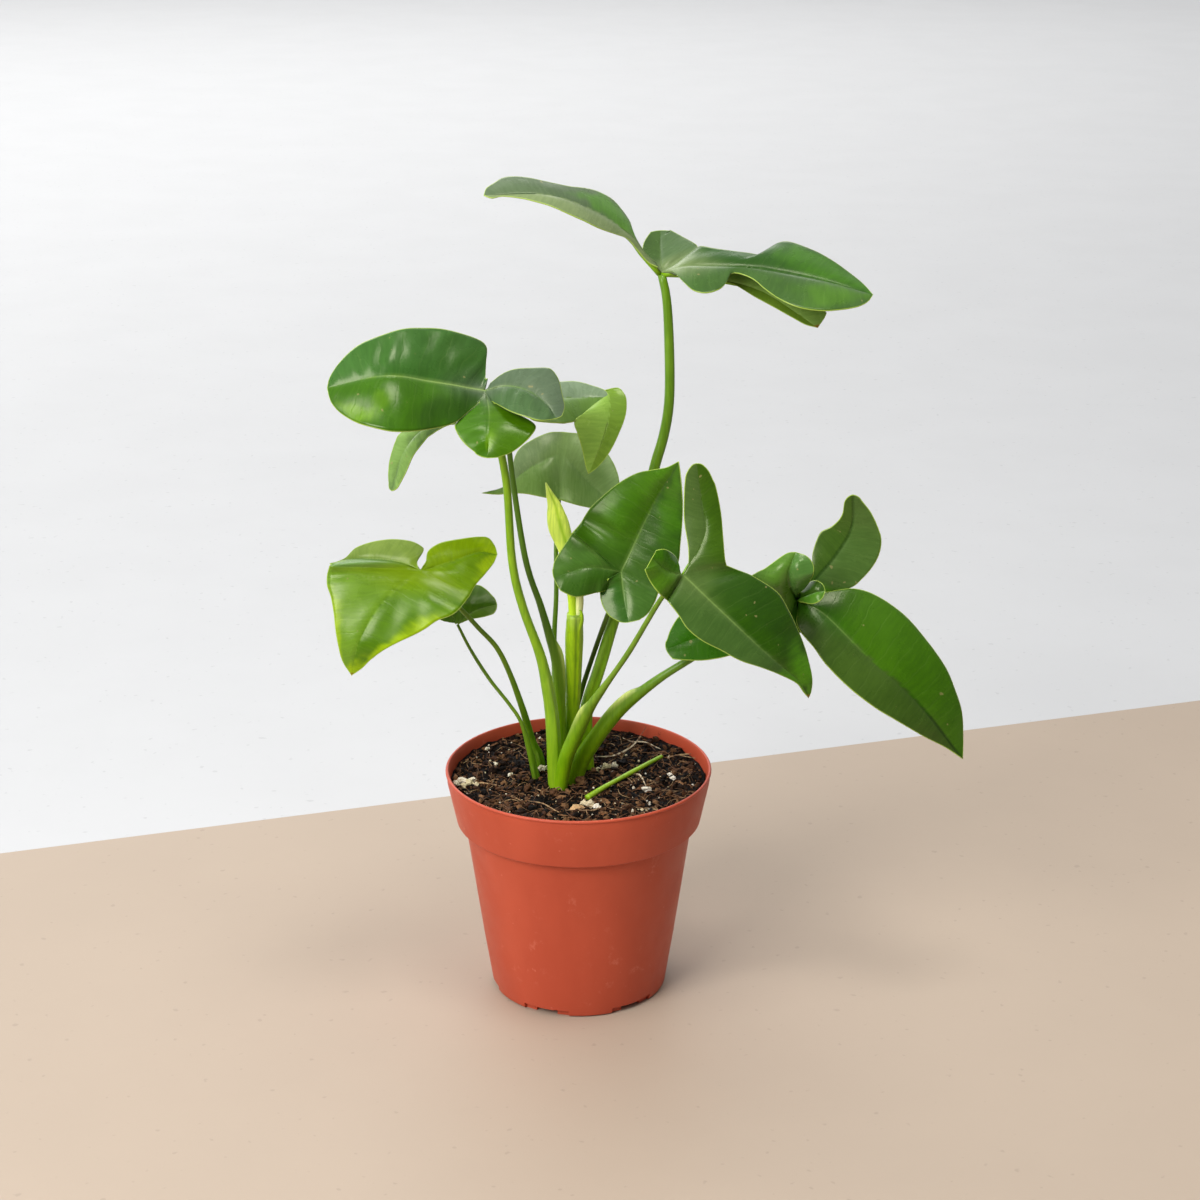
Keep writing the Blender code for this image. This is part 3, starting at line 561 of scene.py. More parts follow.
# Each stalk: where its sheath ends as a share of its length, how its colour runs from soil to
# blade, the way that the grooved side of its sheath faces, and how far the sheath's ears stand out.
STALK_LOOKS = {
    "petiole_top": (0.30, "leek", "stem", "stem", (0.2, -0.5, 0.2), 0.0),
    "petiole_upper_left": (0.32, "young", "young", "young", (1, -0.3, 0.1), 0.05),
    "petiole_upper_back": (0.41, "leek", "dark_stem", "dark_stem", (0.8, 0.6, 0.1), 0.8),
    "petiole_back": (0.2, "leek", "stem", "stem", (0.3, -1, 0), 0.0),
    "petiole_centre": (0.1, "dark_stem", "shadow_stem", "dark_stem", (0, -1, 0), 0.0),
    "petiole_front_right": (0.41, "leek", "olive_stem", "olive_stem", (-1, 0.5, 0.5), 0.6),
    "petiole_right": (0.45, "leek", "stem", "dark_stem", (-0.6, 0.45, 0.7), 0.8),
    "petiole_lower_left": (0.12, "stem", "olive_stem", "olive_stem", (0.5, -0.8, 0.3), 0.0),
    "petiole_small": (0.15, "stem", "olive_stem", "olive_stem", (0.5, -0.8, 0.3), 0.0),
    "petiole_cut_off": (0.0, "cut_stem", "cut_stem", "young", (-0.6, -0.6, 0.5), 0.0)}
# Where round the stalk the sheath's two ears stand, how wide they are, and its groove's width.
EAR_ANGLE, EAR_WIDTH, GROOVE_WIDTH = 0.75, 0.28, 0.42
# Named colours. Some are painted shade: shadow_stem on a stalk in the leaves' shade, deep on the leaves,
# and slit in the split of the new leaf's sheath.
HUES = {
    "leek": paint(124, 170, 6), "young": paint(130, 172, 24), "stem": paint(98, 138, 20),
    "dark_stem": paint(78, 112, 20), "shadow_stem": paint(66, 88, 22), "olive_stem": paint(106, 140, 32),
    "cut_stem": paint(148, 188, 28), "papery": paint(200, 216, 120), "deep": paint(38, 72, 14),
    "leafy": paint(70, 116, 14), "fresh": paint(78, 136, 10), "pale": paint(124, 160, 78),
    "gold": paint(146, 176, 6), "gilt": paint(104, 148, 14), "rust": paint(126, 58, 22),
    "lime_stem": paint(190, 226, 36), "spear": paint(226, 250, 100), "spear_tip": paint(228, 248, 130),
    "spear_fold": paint(168, 212, 30), "sheath": paint(152, 192, 14), "sheath_foot": paint(110, 154, 14),
    "slit": paint(84, 120, 10), "film": paint(226, 234, 160)}


def grouped(numbers, size):
    """A flat list of numbers in twos or threes."""
    return [tuple(numbers[n:n + size]) for n in range(0, len(numbers), size)]


def between(values, fraction):
    """A value part of the way along an evenly spaced list of vectors."""
    place = min(max(fraction, 0.0), 1.0) * (len(values) - 1)
    first = min(int(place), len(values) - 2)
    return values[first].lerp(values[first + 1], place - first)


def eased(value, low, high):
    """0 below low, 1 above high, and a smooth step between them."""
    share = min(1.0, max(0.0, (value - low) / (high - low)))
    return share * share * (3 - 2 * share)


def blend_shades(first, second, share):
    return tuple(a + (b - a) * share for a, b in zip(first, second))


def tinted(shade, hue, share):
    """A shade blended towards a named hue."""
    return blend_shades(shade, HUES[hue], share)


def near_line(angle, middle, width):
    """How close an angle round a stem is to a line on it."""
    away = (angle - middle + math.pi) % (2 * math.pi) - math.pi
    return math.exp(-(away / width) ** 2)


def tube(form, tone, points, radii, steps, sides, facing, outline_at):
    """A closed stem along a route; outline_at(share, angle) gives (size factor, shade)."""
    route = smooth_curve(points, steps)
    sizes = smooth_curve([(n, r, 0) for n, r in enumerate(radii)], steps)
    rings = []
    for step, place in enumerate(route):
        share = step / (steps - 1)
        ahead = (route[min(step + 1, steps - 1)] - route[max(step - 1, 0)]).normalized()
        side = (Vector(facing) - ahead * ahead.dot(Vector(facing))).normalized()
        outline, shades = [], []
        for n in range(sides):
            angle = 2 * math.pi * n / sides
            factor, shade = outline_at(share, angle)
            size = sizes[step].y * factor
            outline.append((math.cos(angle) * size, math.sin(angle) * size))
            shades.append(shade)
        rings.append(skin_ring(form, tone, place, side, ahead.cross(side), outline, shades))
    join_rings(form, rings)


def stalk_outline(sheath_end, low, middle, top, ears):
    """A petiole's outline: a grooved sheath that draws in to a round stalk."""
    def outline_at(share, angle):
        sheath = 1 - eased(share, sheath_end * 0.9, sheath_end * 1.04 + 0.01) if sheath_end else 0.0
        groove = near_line(angle, 0, GROOVE_WIDTH)
        wing = sheath * sum(math.exp(-((turn - EAR_ANGLE) / EAR_WIDTH) ** 2)
                            for turn in (angle, 2 * math.pi - angle))
        ear = eased(share, 0.5 * sheath_end, 0.93 * sheath_end + 0.01)
        ear -= eased(share, 0.95 * sheath_end, sheath_end + 0.01)
        paled = 0.15 * wing * eased(share, 0.3 * sheath_end, sheath_end + 0.01) + 2 * ears * ear ** 2 * wing
        shade = tinted(tinted(HUES[low], middle, eased(share, 0.12, 0.5)), top, eased(share, 0.6, 0.95))
        factor = (1 - (0.10 + 0.22 * sheath) * groove) * (1 + (0.12 + ears * ear) * wing)
        return factor, tinted(shade, "papery", min(1.0, paled))
    return outline_at


def plant_skin(name, roughness, streak, relief):
    """Waxy living skin over its painted tone, with fine streaks of growth."""
    finish, shader, place, tone = new_material(name, IOR=1.45, Specular_IOR_Level=0.45)
    clouds = noise_at(place, 60, 3)
    value = noise_at(scaled(place, 1, 1, 0.06), 900, 3) * streak + clouds * (1 - streak)
    dark = mixed(1.0, tone, (0.72, 0.78, 0.70, 1), "MULTIPLY")
    light = mixed(1.0, tone, (1.22, 1.14, 1.15, 1), "MULTIPLY")
    coat(shader, mixed(ramp(value, 0.3, 0.7), dark, light),
         ramp(clouds, 0.3, 0.7, roughness, roughness + 0.12), value, relief, 0.0004)
    return finish


stalk_finish = plant_skin("stalk_skin", 0.34, 0.55, 0.25)

# --------------------------------------------------------------------------------- the leaves
# Waxy blades under half a millimetre thick, each cut into lobes that meet where the stalk
# arrives. A pale rib runs out along every lobe and fades; on a few lobes it turns to a dark line of
# painted shade. Fine veins leave it in faint streaks, and a thin light line edges the blade: its
# pale edge, with a painted rim highlight in it. Undersides are duller, with fainter veins.


def lobe(rib, up, left, right, left_hue, right_hue, pointed, shown):
    """One lobe of a blade.

    rib:     points of its midrib beyond the junction, in threes, the last one its tip
    up:      the way its face looks, in threes, at even steps along the midrib
    left:    its left margin from notch to tip, in twos: a fraction of the midrib, a half-width
    right:   the same for the right margin
    left_hue, right_hue: the colour of each half, with the light and shade that fall on it painted in
    pointed: whether it ends in a point, or round
    shown:   how clearly its midrib shows at the junction and at the tip, 1 a pale line to
         -1 a dark line of painted shade, as in a groove
    """
    return {"rib": grouped(rib, 3), "up": [Vector(way) for way in grouped(up, 3)], "pointed": pointed,
            "left": grouped(left, 2), "right": grouped(right, 2),
            "hues": (paint(*left_hue), paint(*right_hue)), "shown": shown}


# Each blade: the point where its veins meet, the notches between its lobes (in threes, from the
# free side, round to the other free side), and its lobes in the same order, anticlockwise from
# above.
# The hue of each half holds the leaf's colour and, painted in, the light and shade that fall on that half.
BLADES = {
"leaf_top": ((39.5, 35, 352), [42.5, 34, 350.5, 50, 31, 351.5, 57, 49, 361, 36.5, 40, 356, 37.5, 33,
    355], [
    lobe([57.5, 35, 350, 86, 36, 343, 113.5, 32, 326], [0, -0.75, 0.6, 0, -0.9, 0.4],
         [0.4, 6.6, 0.66, 6.2, 0.82, 6.9, 0.973, 8.8, 1, 6.9],
         [0.23, 0.2, 0.41, 0.2, 0.59, 3.9, 0.73, 3.8, 0.85, 2.9, 0.932, 2],
         (116, 150, 68), (92, 122, 34), True, (0.3, 0.1)),
    lobe([52.5, 32, 355.5, 69, 30, 356, 87.5, 28, 354.5, 113, 24, 350.5, 137.5, 18, 345],
         [0, -0.4, 0.9, 0.1, -0.45, 0.88],
         [0.19, 15.5, 0.27, 13.2, 0.4, 11.7, 0.46, 11.5, 0.48, 14.4, 0.51, 21.4, 0.56, 24.4, 0.63, 22.9,
          0.71, 19.9, 0.8, 14.7, 0.89, 9.5, 0.955, 4.6],
         [0.08, 4.5, 0.12, 12.2, 0.17, 19, 0.23, 20.9, 0.29, 17.6, 0.32, 11.4, 0.33, 5.9, 0.37, 4.7, 0.44,
          7.7, 0.51, 13.7, 0.59, 19.8, 0.68, 23.3, 0.8, 21.7, 0.88, 17.7, 0.953, 12.1, 0.99, 5.6],
         (34, 76, 10), (57, 91, 34), True, (0.15, 0)),
    lobe([39, 46, 358, 39.5, 62, 366.5], [-0.05, -0.5, 0.85, -0.05, -0.5, 0.85],
         [0.45, 7.9, 0.71, 8, 0.943, 5],
         [0.65, 17.1, 0.77, 13.5, 0.99, 5.5], (62, 94, 34), (76, 102, 60), False, (0.2, 0.1)),
    lobe([31, 34, 361.5, 25, 33, 369.5, 10.5, 30, 380.5, -12.5, 25, 390, -43, 20, 391],
         [0, -0.45, 0.88, 0, -0.4, 0.9],
         [0.09, 2.3, 0.18, 2.6, 0.25, 3.2, 0.33, 6.7, 0.43, 10.9, 0.54, 11.7, 0.66, 9.7, 0.77, 5.9, 0.83,
          3.3, 0.915, 1, 0.963, 2.4],
         [0.09, 0.9, 0.16, 0.9, 0.23, 2.9, 0.27, 8, 0.32, 12.1, 0.38, 15.3, 0.45, 16.4, 0.52, 14.4, 0.6,
          11.3, 0.71, 11.2, 0.81, 13.8, 0.89, 13.9, 0.945, 9.2, 0.983, 5.4],
         (116, 134, 86), (83, 103, 70), True, (0.1, 0))]),
"leaf_upper_left": ((-41.5, -25, 310.5), [-40.5, -24, 316, -44, -30, 306.5, -38, -31, 307, -38.5, -22,
    312.5], [
    lobe([-65.5, -32, 316.5, -85, -38, 320.5, -112, -36, 314.5], [-0.1, -0.75, 0.65, -0.35, -0.7, 0.6],
         [0.07, 9.2, 0.12, 13.4, 0.19, 18.8, 0.32, 22.9, 0.44, 26, 0.55, 27.6, 0.64, 27.3, 0.76, 24.2,
          0.85, 19.9, 0.927, 14.3, 0.97, 9.5, 0.99, 5.4],
         [0, 6.3, 0, 14.2, 0, 22.4, 0.08, 25.7, 0.23, 26.9, 0.37, 26.7, 0.51, 24.4, 0.64, 21.2, 0.77, 18.3,
          0.85, 15.1, 0.917, 11.1, 0.958, 7.5, 0.985, 4], (54, 99, 3), (55, 99, 35), True, (1, 0.25)),
    lobe([-39.5, -34, 303, -39.5, -44, 295, -40, -50, 286], [0, -0.5, 0.87, 0, -0.97, 0.2],
         [0.29, 5, 0.39, 12, 0.47, 18.1, 0.56, 21.1, 0.69, 19.3, 0.79, 16, 0.902, 11.1, 0.968, 6.1],
         [0.22, 4.7, 0.33, 10.5, 0.54, 15.2, 0.66, 14.4, 0.82, 10.7, 0.925, 6.1],
         (64, 105, 3), (59, 106, 3), False, (0.35, 0)),
    lobe([-32.5, -26, 313, -22.5, -30, 312, -14, -36, 307, -9, -42, 302],
         [0.05, -0.5, 0.86, 0.5, -0.7, 0.5],
         [0.07, 3.5, 0.18, 7, 0.26, 9.8, 0.37, 12.6, 0.48, 16.8, 0.53, 17.4, 0.62, 15.3, 0.74, 11.2, 0.87,
          7.7, 0.97, 4.1],
         [0.07, 8.2, 0.5, 15.2, 0.81, 13.8, 0.975, 8.9, 1, 3.5],
         (83, 102, 76), (66, 96, 53), False, (0.45, 0.1))]),
"leaf_upper_back": ((-33, 8, 293.5), [-29.5, 6, 291, -27, 8, 292, -38.5, 30, 301, -37.5, 4, 292.5], [
    lobe([-15.5, 19, 292.5, 2.5, 27, 292.5, 13, 26, 296, 15, 21, 293, 14.5, 13, 286, 10.5, 5, 275, 5, 0,
          263.5], [0.1, -0.5, 0.85, 0.1, -0.5, 0.85, 0.2, -0.7, 0.6, 0.3, -0.95, 0.2, 0.3, -0.95, 0.2],
         [0.2, 2.8, 0.38, 2.5, 0.52, 1.5, 0.55, 6, 0.57, 7.6, 0.59, 8.4, 0.66, 8, 0.74, 6.9, 0.85, 5.4,
          0.943, 3],
         [0.21, 1.5, 0.41, 1.4, 0.48, 2.7, 0.71, 12, 0.79, 16.2, 0.85, 12, 0.91, 7.3, 0.97, 2.9],
         (113, 147, 46), (138, 175, 71), True, (0.1, 0.1)),
    lobe([-15.5, 14, 296, 2, 22, 294.5, 15, 23, 294.5], [0.05, -0.45, 0.9, 0.1, -0.5, 0.85],
         [0.3, 11.7, 0.6, 11.4, 0.72, 11.3, 0.82, 8.8, 0.955, 5],
         [0.18, 13, 0.4, 17.2, 0.47, 17.1, 0.55, 16, 0.73, 9.8, 0.88, 3.4],
         (116, 137, 105), (88, 122, 48), True, (0.1, 0.1)),
    lobe([-50.5, 10, 289.5, -69.5, 8, 285, -81, 2, 274.5, -87, -6, 257],
         [0, -0.4, 0.9, -0.4, -0.6, 0.7, -0.75, -0.6, 0.25],
         [0.25, 5.8, 0.38, 3.7, 0.54, 5.8, 0.59, 6.2, 0.73, 7, 0.88, 6.4, 0.963, 4.4],
         [0.24, 8.3, 0.47, 6.3, 0.64, 8.2, 0.71, 8.1, 0.81, 6.9, 0.9, 5.6, 0.958, 3.7],
         (78, 108, 50), (78, 106, 54), False, (0.15, 0.05))]),
"leaf_back": ((-8.5, 45, 261), [-7.5, 50, 270, -9, 33, 240.5, -7.5, 50, 270], [
    lobe([-23.5, 40, 254.5, -35.5, 34, 247, -46.5, 28, 245.5], [-0.1, -0.85, 0.5, -0.1, -0.8, 0.6],
         [0.46, 16.7, 0.59, 9.6, 0.7, 4.8, 0.84, 2.4],
         [0, 11.5, 0.18, 12.1, 0.33, 11.6, 0.42, 9.4, 0.53, 4.8, 0.66, 0.6, 0.77, 0, 0.89, 0],
         (130, 166, 87), (140, 165, 113), True, (0, 0)),
    lobe([3, 38, 250, 17.5, 30, 238], [0.1, -0.85, 0.5, 0.1, -0.85, 0.5],
         [0.07, 16.3, 0.3, 17.4, 0.56, 15.8, 0.74, 12.8, 0.88, 8.7],
         [0.63, 12.7, 0.77, 9.3, 0.917, 5.4], (154, 186, 115), (141, 176, 100), False, (0, 0))]),
"leaf_centre": ((20.5, 2, 214.5), [14.5, -3, 212.5, 38.5, -4, 206.5, -2.5, -2, 235.5, 16, 3, 206], [
    lobe([22, -3, 203, 24, -10, 193], [-0.05, -0.9, 0.4, 0, -0.95, 0.3],
         [0.69, 14.2, 0.89, 10.1, 0.985, 5.6],
         [0.27, 10.4, 0.43, 11.2, 0.61, 10.6, 0.81, 8.3, 0.945, 4.6],
         (64, 101, 37), (49, 91, 26), False, (0.5, 0)),
    lobe([35, 6, 245, 47.5, 3, 269], [-0.1, -0.92, 0.38, -0.1, -0.9, 0.4],
         [0.19, 27.6, 0.33, 26.4, 0.46, 23.4, 0.6, 19.2, 0.72, 14.3, 0.82, 8.4, 0.902, 3.4],
         [0.14, 23.2, 0.26, 22.9, 0.38, 20.5, 0.53, 17.3, 0.67, 13.3, 0.81, 8.4, 0.925, 3.6],
         (57, 99, 3), (48, 85, 20), True, (0.45, 0.05)),
    lobe([6, -2, 218, -3, -4, 216.5, -11.5, -6, 214], [-0.1, -0.9, 0.4, -0.2, -0.9, 0.4],
         [0.23, 11.1, 0.34, 12.1, 0.69, 12.8, 0.83, 11.7, 0.963, 7.5],
         [0.58, 17.2, 0.73, 12.6, 0.89, 7.8, 0.96, 4.6], (53, 90, 22), (66, 104, 34), False, (0.3, 0))]),
"leaf_front_right": ((48.5, -45, 229), [47, -45, 229.5, 41.5, -50, 218, 68.5, -42, 232.5, 50, -44,
    229.5], [
    lobe([41.5, -48, 231.5, 34, -52, 239.5], [0, -0.8, 0.6, 0, -0.8, 0.6],
         [0.44, 11.5, 0.72, 8.9, 1, 6.7],
         [0.1, 4.5, 0.22, 8.8, 0.83, 7.3, 1, 4.3], (70, 111, 18), (53, 100, 3), False, (0.3, 0.1)),
    lobe([63, -50, 216, 84, -54, 196.5, 97, -50, 183.5, 103, -47, 177, 107.5, -44, 168],
         [0.05, -0.8, 0.6, 0.1, -0.8, 0.6],
         [0.21, 20.4, 0.29, 23, 0.43, 25.2, 0.57, 22.7, 0.69, 19.4, 0.78, 15.9, 0.85, 11.4, 0.922, 6.3,
          0.978, 3],
         [0.05, 14.3, 0.13, 15.2, 0.21, 17, 0.31, 16.4, 0.41, 13.5, 0.51, 11, 0.62, 6.5, 0.76, 3.2, 0.87,
          1.5, 0.945, 1], (42, 80, 3), (64, 95, 38), True, (0.5, 0.15)),
    lobe([58.5, -38, 246, 57, -33, 261, 54.5, -31, 278], [0, -0.85, 0.5, 0, -0.95, 0.25],
         [0.11, 0.9, 0.23, 5.3, 0.53, 9.7, 0.72, 8, 0.89, 6.1, 0.943, 4.7, 0.975, 3.2, 0.995, 1.7],
         [0.28, 12.4, 0.4, 8.3, 0.55, 7.6, 0.77, 7.3, 0.85, 6.2, 0.915, 5.1, 0.963, 3.6, 0.99, 2],
         (73, 99, 43), (56, 89, 12), True, (0.15, 0))]),
"leaf_right": ((104, -10, 204.5), [104, -12, 199, 107.5, -14, 205.5, 112, -8, 209.5, 108.5, -8, 211.5, 98,
    -14, 185.5, 106, -13, 189], [
    lobe([116.5, -16, 199, 134, -24, 183.5, 159.5, -28, 160.5, 184, -24, 128.5],
         [0.2, -0.8, 0.55, 0.3, -0.85, 0.4],
         [0.05, 4.5, 0.09, 10.2, 0.12, 15.2, 0.15, 19.9, 0.21, 24.5, 0.31, 27.6, 0.44, 27.8, 0.56, 25.2,
          0.66, 22.5, 0.75, 19.1, 0.85, 14.4, 0.932, 7.4],
         [0.05, 10.5, 0.1, 14.3, 0.21, 15.9, 0.29, 17.5, 0.41, 17.9, 0.53, 16.9, 0.64, 14.1, 0.78, 9.2,
          0.9, 3.4], (56, 99, 3), (58, 86, 24), True, (0.4, -0.65)),
    lobe([107.5, -20, 210, 111.5, -25, 213.5, 115.5, -26, 214.5], [-0.2, -0.8, 0.6, 0.1, -0.8, 0.6],
         [0.11, 5.6, 0.4, 7, 0.79, 5.9, 0.917, 4.6, 0.983, 2.5],
         [0.06, 0.9, 0.48, 3.5, 0.67, 5, 0.85, 4.9, 0.94, 3], (44, 78, 14), (70, 116, 30), True, (0, 0)),
    lobe([112.5, -4, 212.5, 122, 0, 223, 129.5, 2, 236.5, 129.5, 0, 253.5],
         [-0.05, -0.93, 0.35, -0.1, -0.95, 0.25],
         [0.29, 5.7, 0.37, 9.2, 0.48, 11.4, 0.56, 11.9, 0.65, 9.2, 0.76, 6.8, 0.84, 5, 0.922, 4.2],
         [0.22, 9.3, 0.3, 13, 0.37, 15.8, 0.43, 16.7, 0.54, 17.6, 0.63, 17.2, 0.7, 15.4, 0.76, 12.2, 0.85,
          8.5, 0.948, 4.3], (60, 90, 25), (70, 100, 41), False, (-0.6, -0.5)),
    lobe([100, -20, 214, 98.5, -26, 224, 101.5, -24, 233], [-0.3, -0.85, 0.4, -0.1, -0.85, 0.5],
         [0.4, 18.5, 0.57, 18.9, 0.65, 15.1, 0.7, 11.9, 0.76, 9.3, 0.83, 7, 0.9, 5.1, 0.963, 3],
         [0.21, 2, 0.38, 6.5, 0.57, 9.7, 0.82, 11.1, 0.915, 10.1, 0.973, 7.5, 1, 4.4, 1, 1.9],
         (83, 124, 41), (77, 118, 51), True, (0, 0)),
    lobe([86, -16, 200.5, 62.5, -20, 191.5, 41.5, -24, 184.5], [-0.05, -0.75, 0.65, -0.1, -0.8, 0.6],
         [0.34, 13.9, 0.59, 14, 0.75, 12.1, 0.87, 9.2, 0.973, 5.9],
         [0.42, 10.2, 0.65, 15.6, 0.81, 13.6, 0.91, 8.8, 0.968, 4.3],
         (43, 92, 3), (44, 98, 3), False, (0.1, 0))]),
"leaf_lower_left": ((-73, -25, 224.5), [-74.5, -24, 226, -115, -28, 227.5, -50, -32, 214, -71.5, -24,
    226.5], [
    lobe([-82.5, -22, 227, -94.5, -20, 228, -105, -20, 228, -115, -26, 228],
         [-0.1, -0.7, 0.7, -0.2, -0.7, 0.7],
         [0.998, 1.2],
         [0.08, 3.7, 0.07, 9.8, 0.13, 11.4, 0.21, 11.8, 0.35, 11.2, 0.46, 10, 0.57, 8.6, 0.68, 6.5, 0.73,
          4.4, 0.8, 1.5, 0.89, 0.4], (103, 142, 68), (124, 149, 65), True, (0.1, 0)),
    lobe([-89, -34, 213, -100.5, -42, 196, -105, -42, 178.5], [-0.05, -0.75, 0.65, -0.05, -0.95, 0.3],
         [0.03, 27.3, 0.16, 24.5, 0.29, 23.6, 0.45, 20.9, 0.58, 16.4, 0.71, 11.7, 0.84, 7.2, 0.922, 4.2],
         [0.44, 29.1, 0.49, 26.1, 0.54, 21.3, 0.62, 16.4, 0.71, 12.5, 0.79, 9, 0.9, 5.4],
         (75, 115, 3), (100, 138, 32), True, (0.08, 0)),
    lobe([-59.5, -21, 227, -46.5, -17, 230.5, -37.5, -16, 229], [0.05, -0.75, 0.65, 0.1, -0.75, 0.65],
         [0.1, 3.7, 0.16, 8.1, 0.28, 10.2, 0.42, 10.6, 0.61, 8.9, 0.79, 7.8, 0.86, 7.4, 0.95, 4.1],
         [0.51, 16.2, 0.58, 14.4, 0.89, 10.7, 0.968, 4.7], (116, 146, 3), (100, 135, 3), True, (0.1, 0))]),
"leaf_small": ((-58.5, 8, 186), [-56, 8, 186.5, -59.5, 14, 201, -62, 8, 186.5], [
    lobe([-49.5, 8, 192.5, -39, 6, 196.5], [-0.1, -0.75, 0.65, 0.1, -0.8, 0.6],
         [0.62, 12.4, 0.79, 9.1, 0.948, 4.2],
         [0.29, 2.4, 0.61, 4.5, 0.86, 4.4], (72, 112, 24), (96, 134, 36), False, (0.3, 0.1)),
    lobe([-65, 10, 192, -74.5, 12, 198], [-0.1, -0.75, 0.65, -0.1, -0.8, 0.6],
         [0.36, 4.6, 0.79, 4.1],
         [0.77, 10.3, 1, 5.8], (88, 128, 40), (88, 128, 40), False, (0.3, 0.1))]),
}
# Patches of other colour, the deep ones painted shade: the lobe, its side (1 left, -1 right), where
# along and across its half the patch sits, how far it reaches each way, its hue, and how strong it is.
PATCHES = {
    "leaf_upper_left": [
        (0, 1, 0.75, 0.82, 0.13, 0.2, "gilt", 0.7), (0, 1, 0.62, 0.5, 0.05, 0.3, "gilt", 0.35),
        (1, 1, 0.78, 0.05, 0.17, 0.24, "gilt", 0.55), (1, -1, 0.78, 0.05, 0.14, 0.2, "gilt", 0.55),
        # The two deep patches near the main lobe's junction are painted shade.
        (0, 1, 0.2, 0.7, 0.28, 0.6, "deep", 0.8), (0, -1, 0.2, 0.5, 0.25, 0.7, "deep", 0.5)],
    "leaf_upper_back": [(2, side, 0.75, 0.5, 0.28, 0.9, "pale", 0.9) for side in (1, -1)],
    "leaf_front_right": [
        (1, 1, 0.85, 0.6, 0.24, 0.7, "fresh", 0.9), (1, -1, 0.9, 0.5, 0.2, 0.9, "fresh", 0.8),
        # The deep patch on the main lobe is painted shade.
        (1, 1, 0.3, 0.6, 0.25, 0.6, "deep", 0.7)],
    "leaf_centre": [
        (1, 1, 0.6, 0.7, 0.4, 0.5, "fresh", 0.45), (1, -1, 0.7, 0.6, 0.4, 0.5, "fresh", 0.4)],
    "leaf_right": [(2, -1, 0.05, 0.6, 0.16, 0.9, "fresh", 0.8)],
    "leaf_top": [
        (1, 1, 0.75, 0.6, 0.3, 0.7, "fresh", 0.35), (3, -1, 0.35, 0.5, 0.22, 0.6, "fresh", 0.6),
        (1, -1, 0.8, 0.5, 0.2, 0.5, "leafy", 0.6)],
    "leaf_lower_left": [
        (2, -1, 0.8, 0.9, 0.4, 0.45, "gold", 0.9), (2, 1, 0.9, 0.5, 0.25, 0.6, "gold", 0.7),
        (1, 1, 0.6, 1.0, 0.5, 0.3, "gold", 0.85), (1, -1, 0.6, 1.0, 0.5, 0.2, "gold", 0.7),
        (0, 1, 0.9, 0.6, 0.3, 0.5, "gold", 0.5),
        (1, 1, 0.95, 0.4, 0.14, 1.2, "gold", 0.8), (1, -1, 0.97, 0.4, 0.12, 1.2, "gold", 0.9)]}
RUSTY_TIPS = {"leaf_lower_left": (1,), "leaf_top": (0,), "leaf_front_right": (1,)}
# How far each blade's face swells and sinks, over what length, how much it is quilted, and how
# deep the folds are that run out from its heart.
RUFFLES = {"leaf_upper_left": (0.7, 19, 0.36, 0), "leaf_lower_left": (0.8, 17, 0.05, 0.26),
           "leaf_centre": (1.3, 17, 0.08, 0.1), "leaf_right": (0.5, 24, 0.06, 0),
           "leaf_small": (0.5, 12, 0.1, 0), "leaf_top": (0.4, 24, 0.05, 0)}
PLAIN_RUFFLE = (0.35, 24, 0.05, 0)
# How far these lobes bulge, as a share of their width, and how far the rest do.
DOMES = {("leaf_upper_back", 0): 0.01, ("leaf_right", 3): 0.24, ("leaf_right", 2): 0.02,
         ("leaf_right", 1): 0.2, ("leaf_front_right", 0): 0.14, ("leaf_centre", 0): 0.07,
         ("leaf_centre", 2): 0.08, ("leaf_top", 2): 0.05, ("leaf_lower_left", 1): 0.03,
         ("leaf_lower_left", 0): 0.08, ("leaf_lower_left", 2): 0.08}
PLAIN_DOME = 0.06
VEIN_SPACING = 8.0
ROWS, COLUMNS = 60, 16
RIB_STEPS, RIB_SIDES, RIB_END = 28, 10, 0.94
BLADE = 0.42                    # thickness
FOLDS = 11                      # round a whole turn about the heart
STALK_BEHIND = 1.4              # how far behind its blade a stalk ends


def lobe_frame(rib, up, fraction):
    """Place, sideways direction and face direction on a midrib."""
    ahead = (between(rib, fraction + 0.04) - between(rib, fraction - 0.04)).normalized()
    face = between(up, fraction)
    face = (face - ahead * face.dot(ahead)).normalized()
    return between(rib, fraction), face.cross(ahead), face


def margin_curve(rib, up, notch, margin, side, pointed):
    """A half lobe's edge, from the notch to the tip."""
    pairs = list(margin)
    if not pointed:
        start, width = pairs[-1]
        pairs += [(start + (1 - start) * step, width * (1 - step ** 1.6) ** 0.63)
                  for step in (0.4, 0.7, 0.9)]
    edge = [Vector(notch)]
    for fraction, width in pairs:
        place, sideways, _ = lobe_frame(rib, up, fraction)
        edge.append(place + sideways * side * width)
    return smooth_curve(edge + [rib[-1].copy()], ROWS + 1)


def swelling(place, along, ruffle):
    """How far the blade's face swells up or sinks at a place, and not at all at its heart."""
    return ruffle[0] * noise.noise(place / ruffle[1]) * eased(along, 0.0, 0.12)


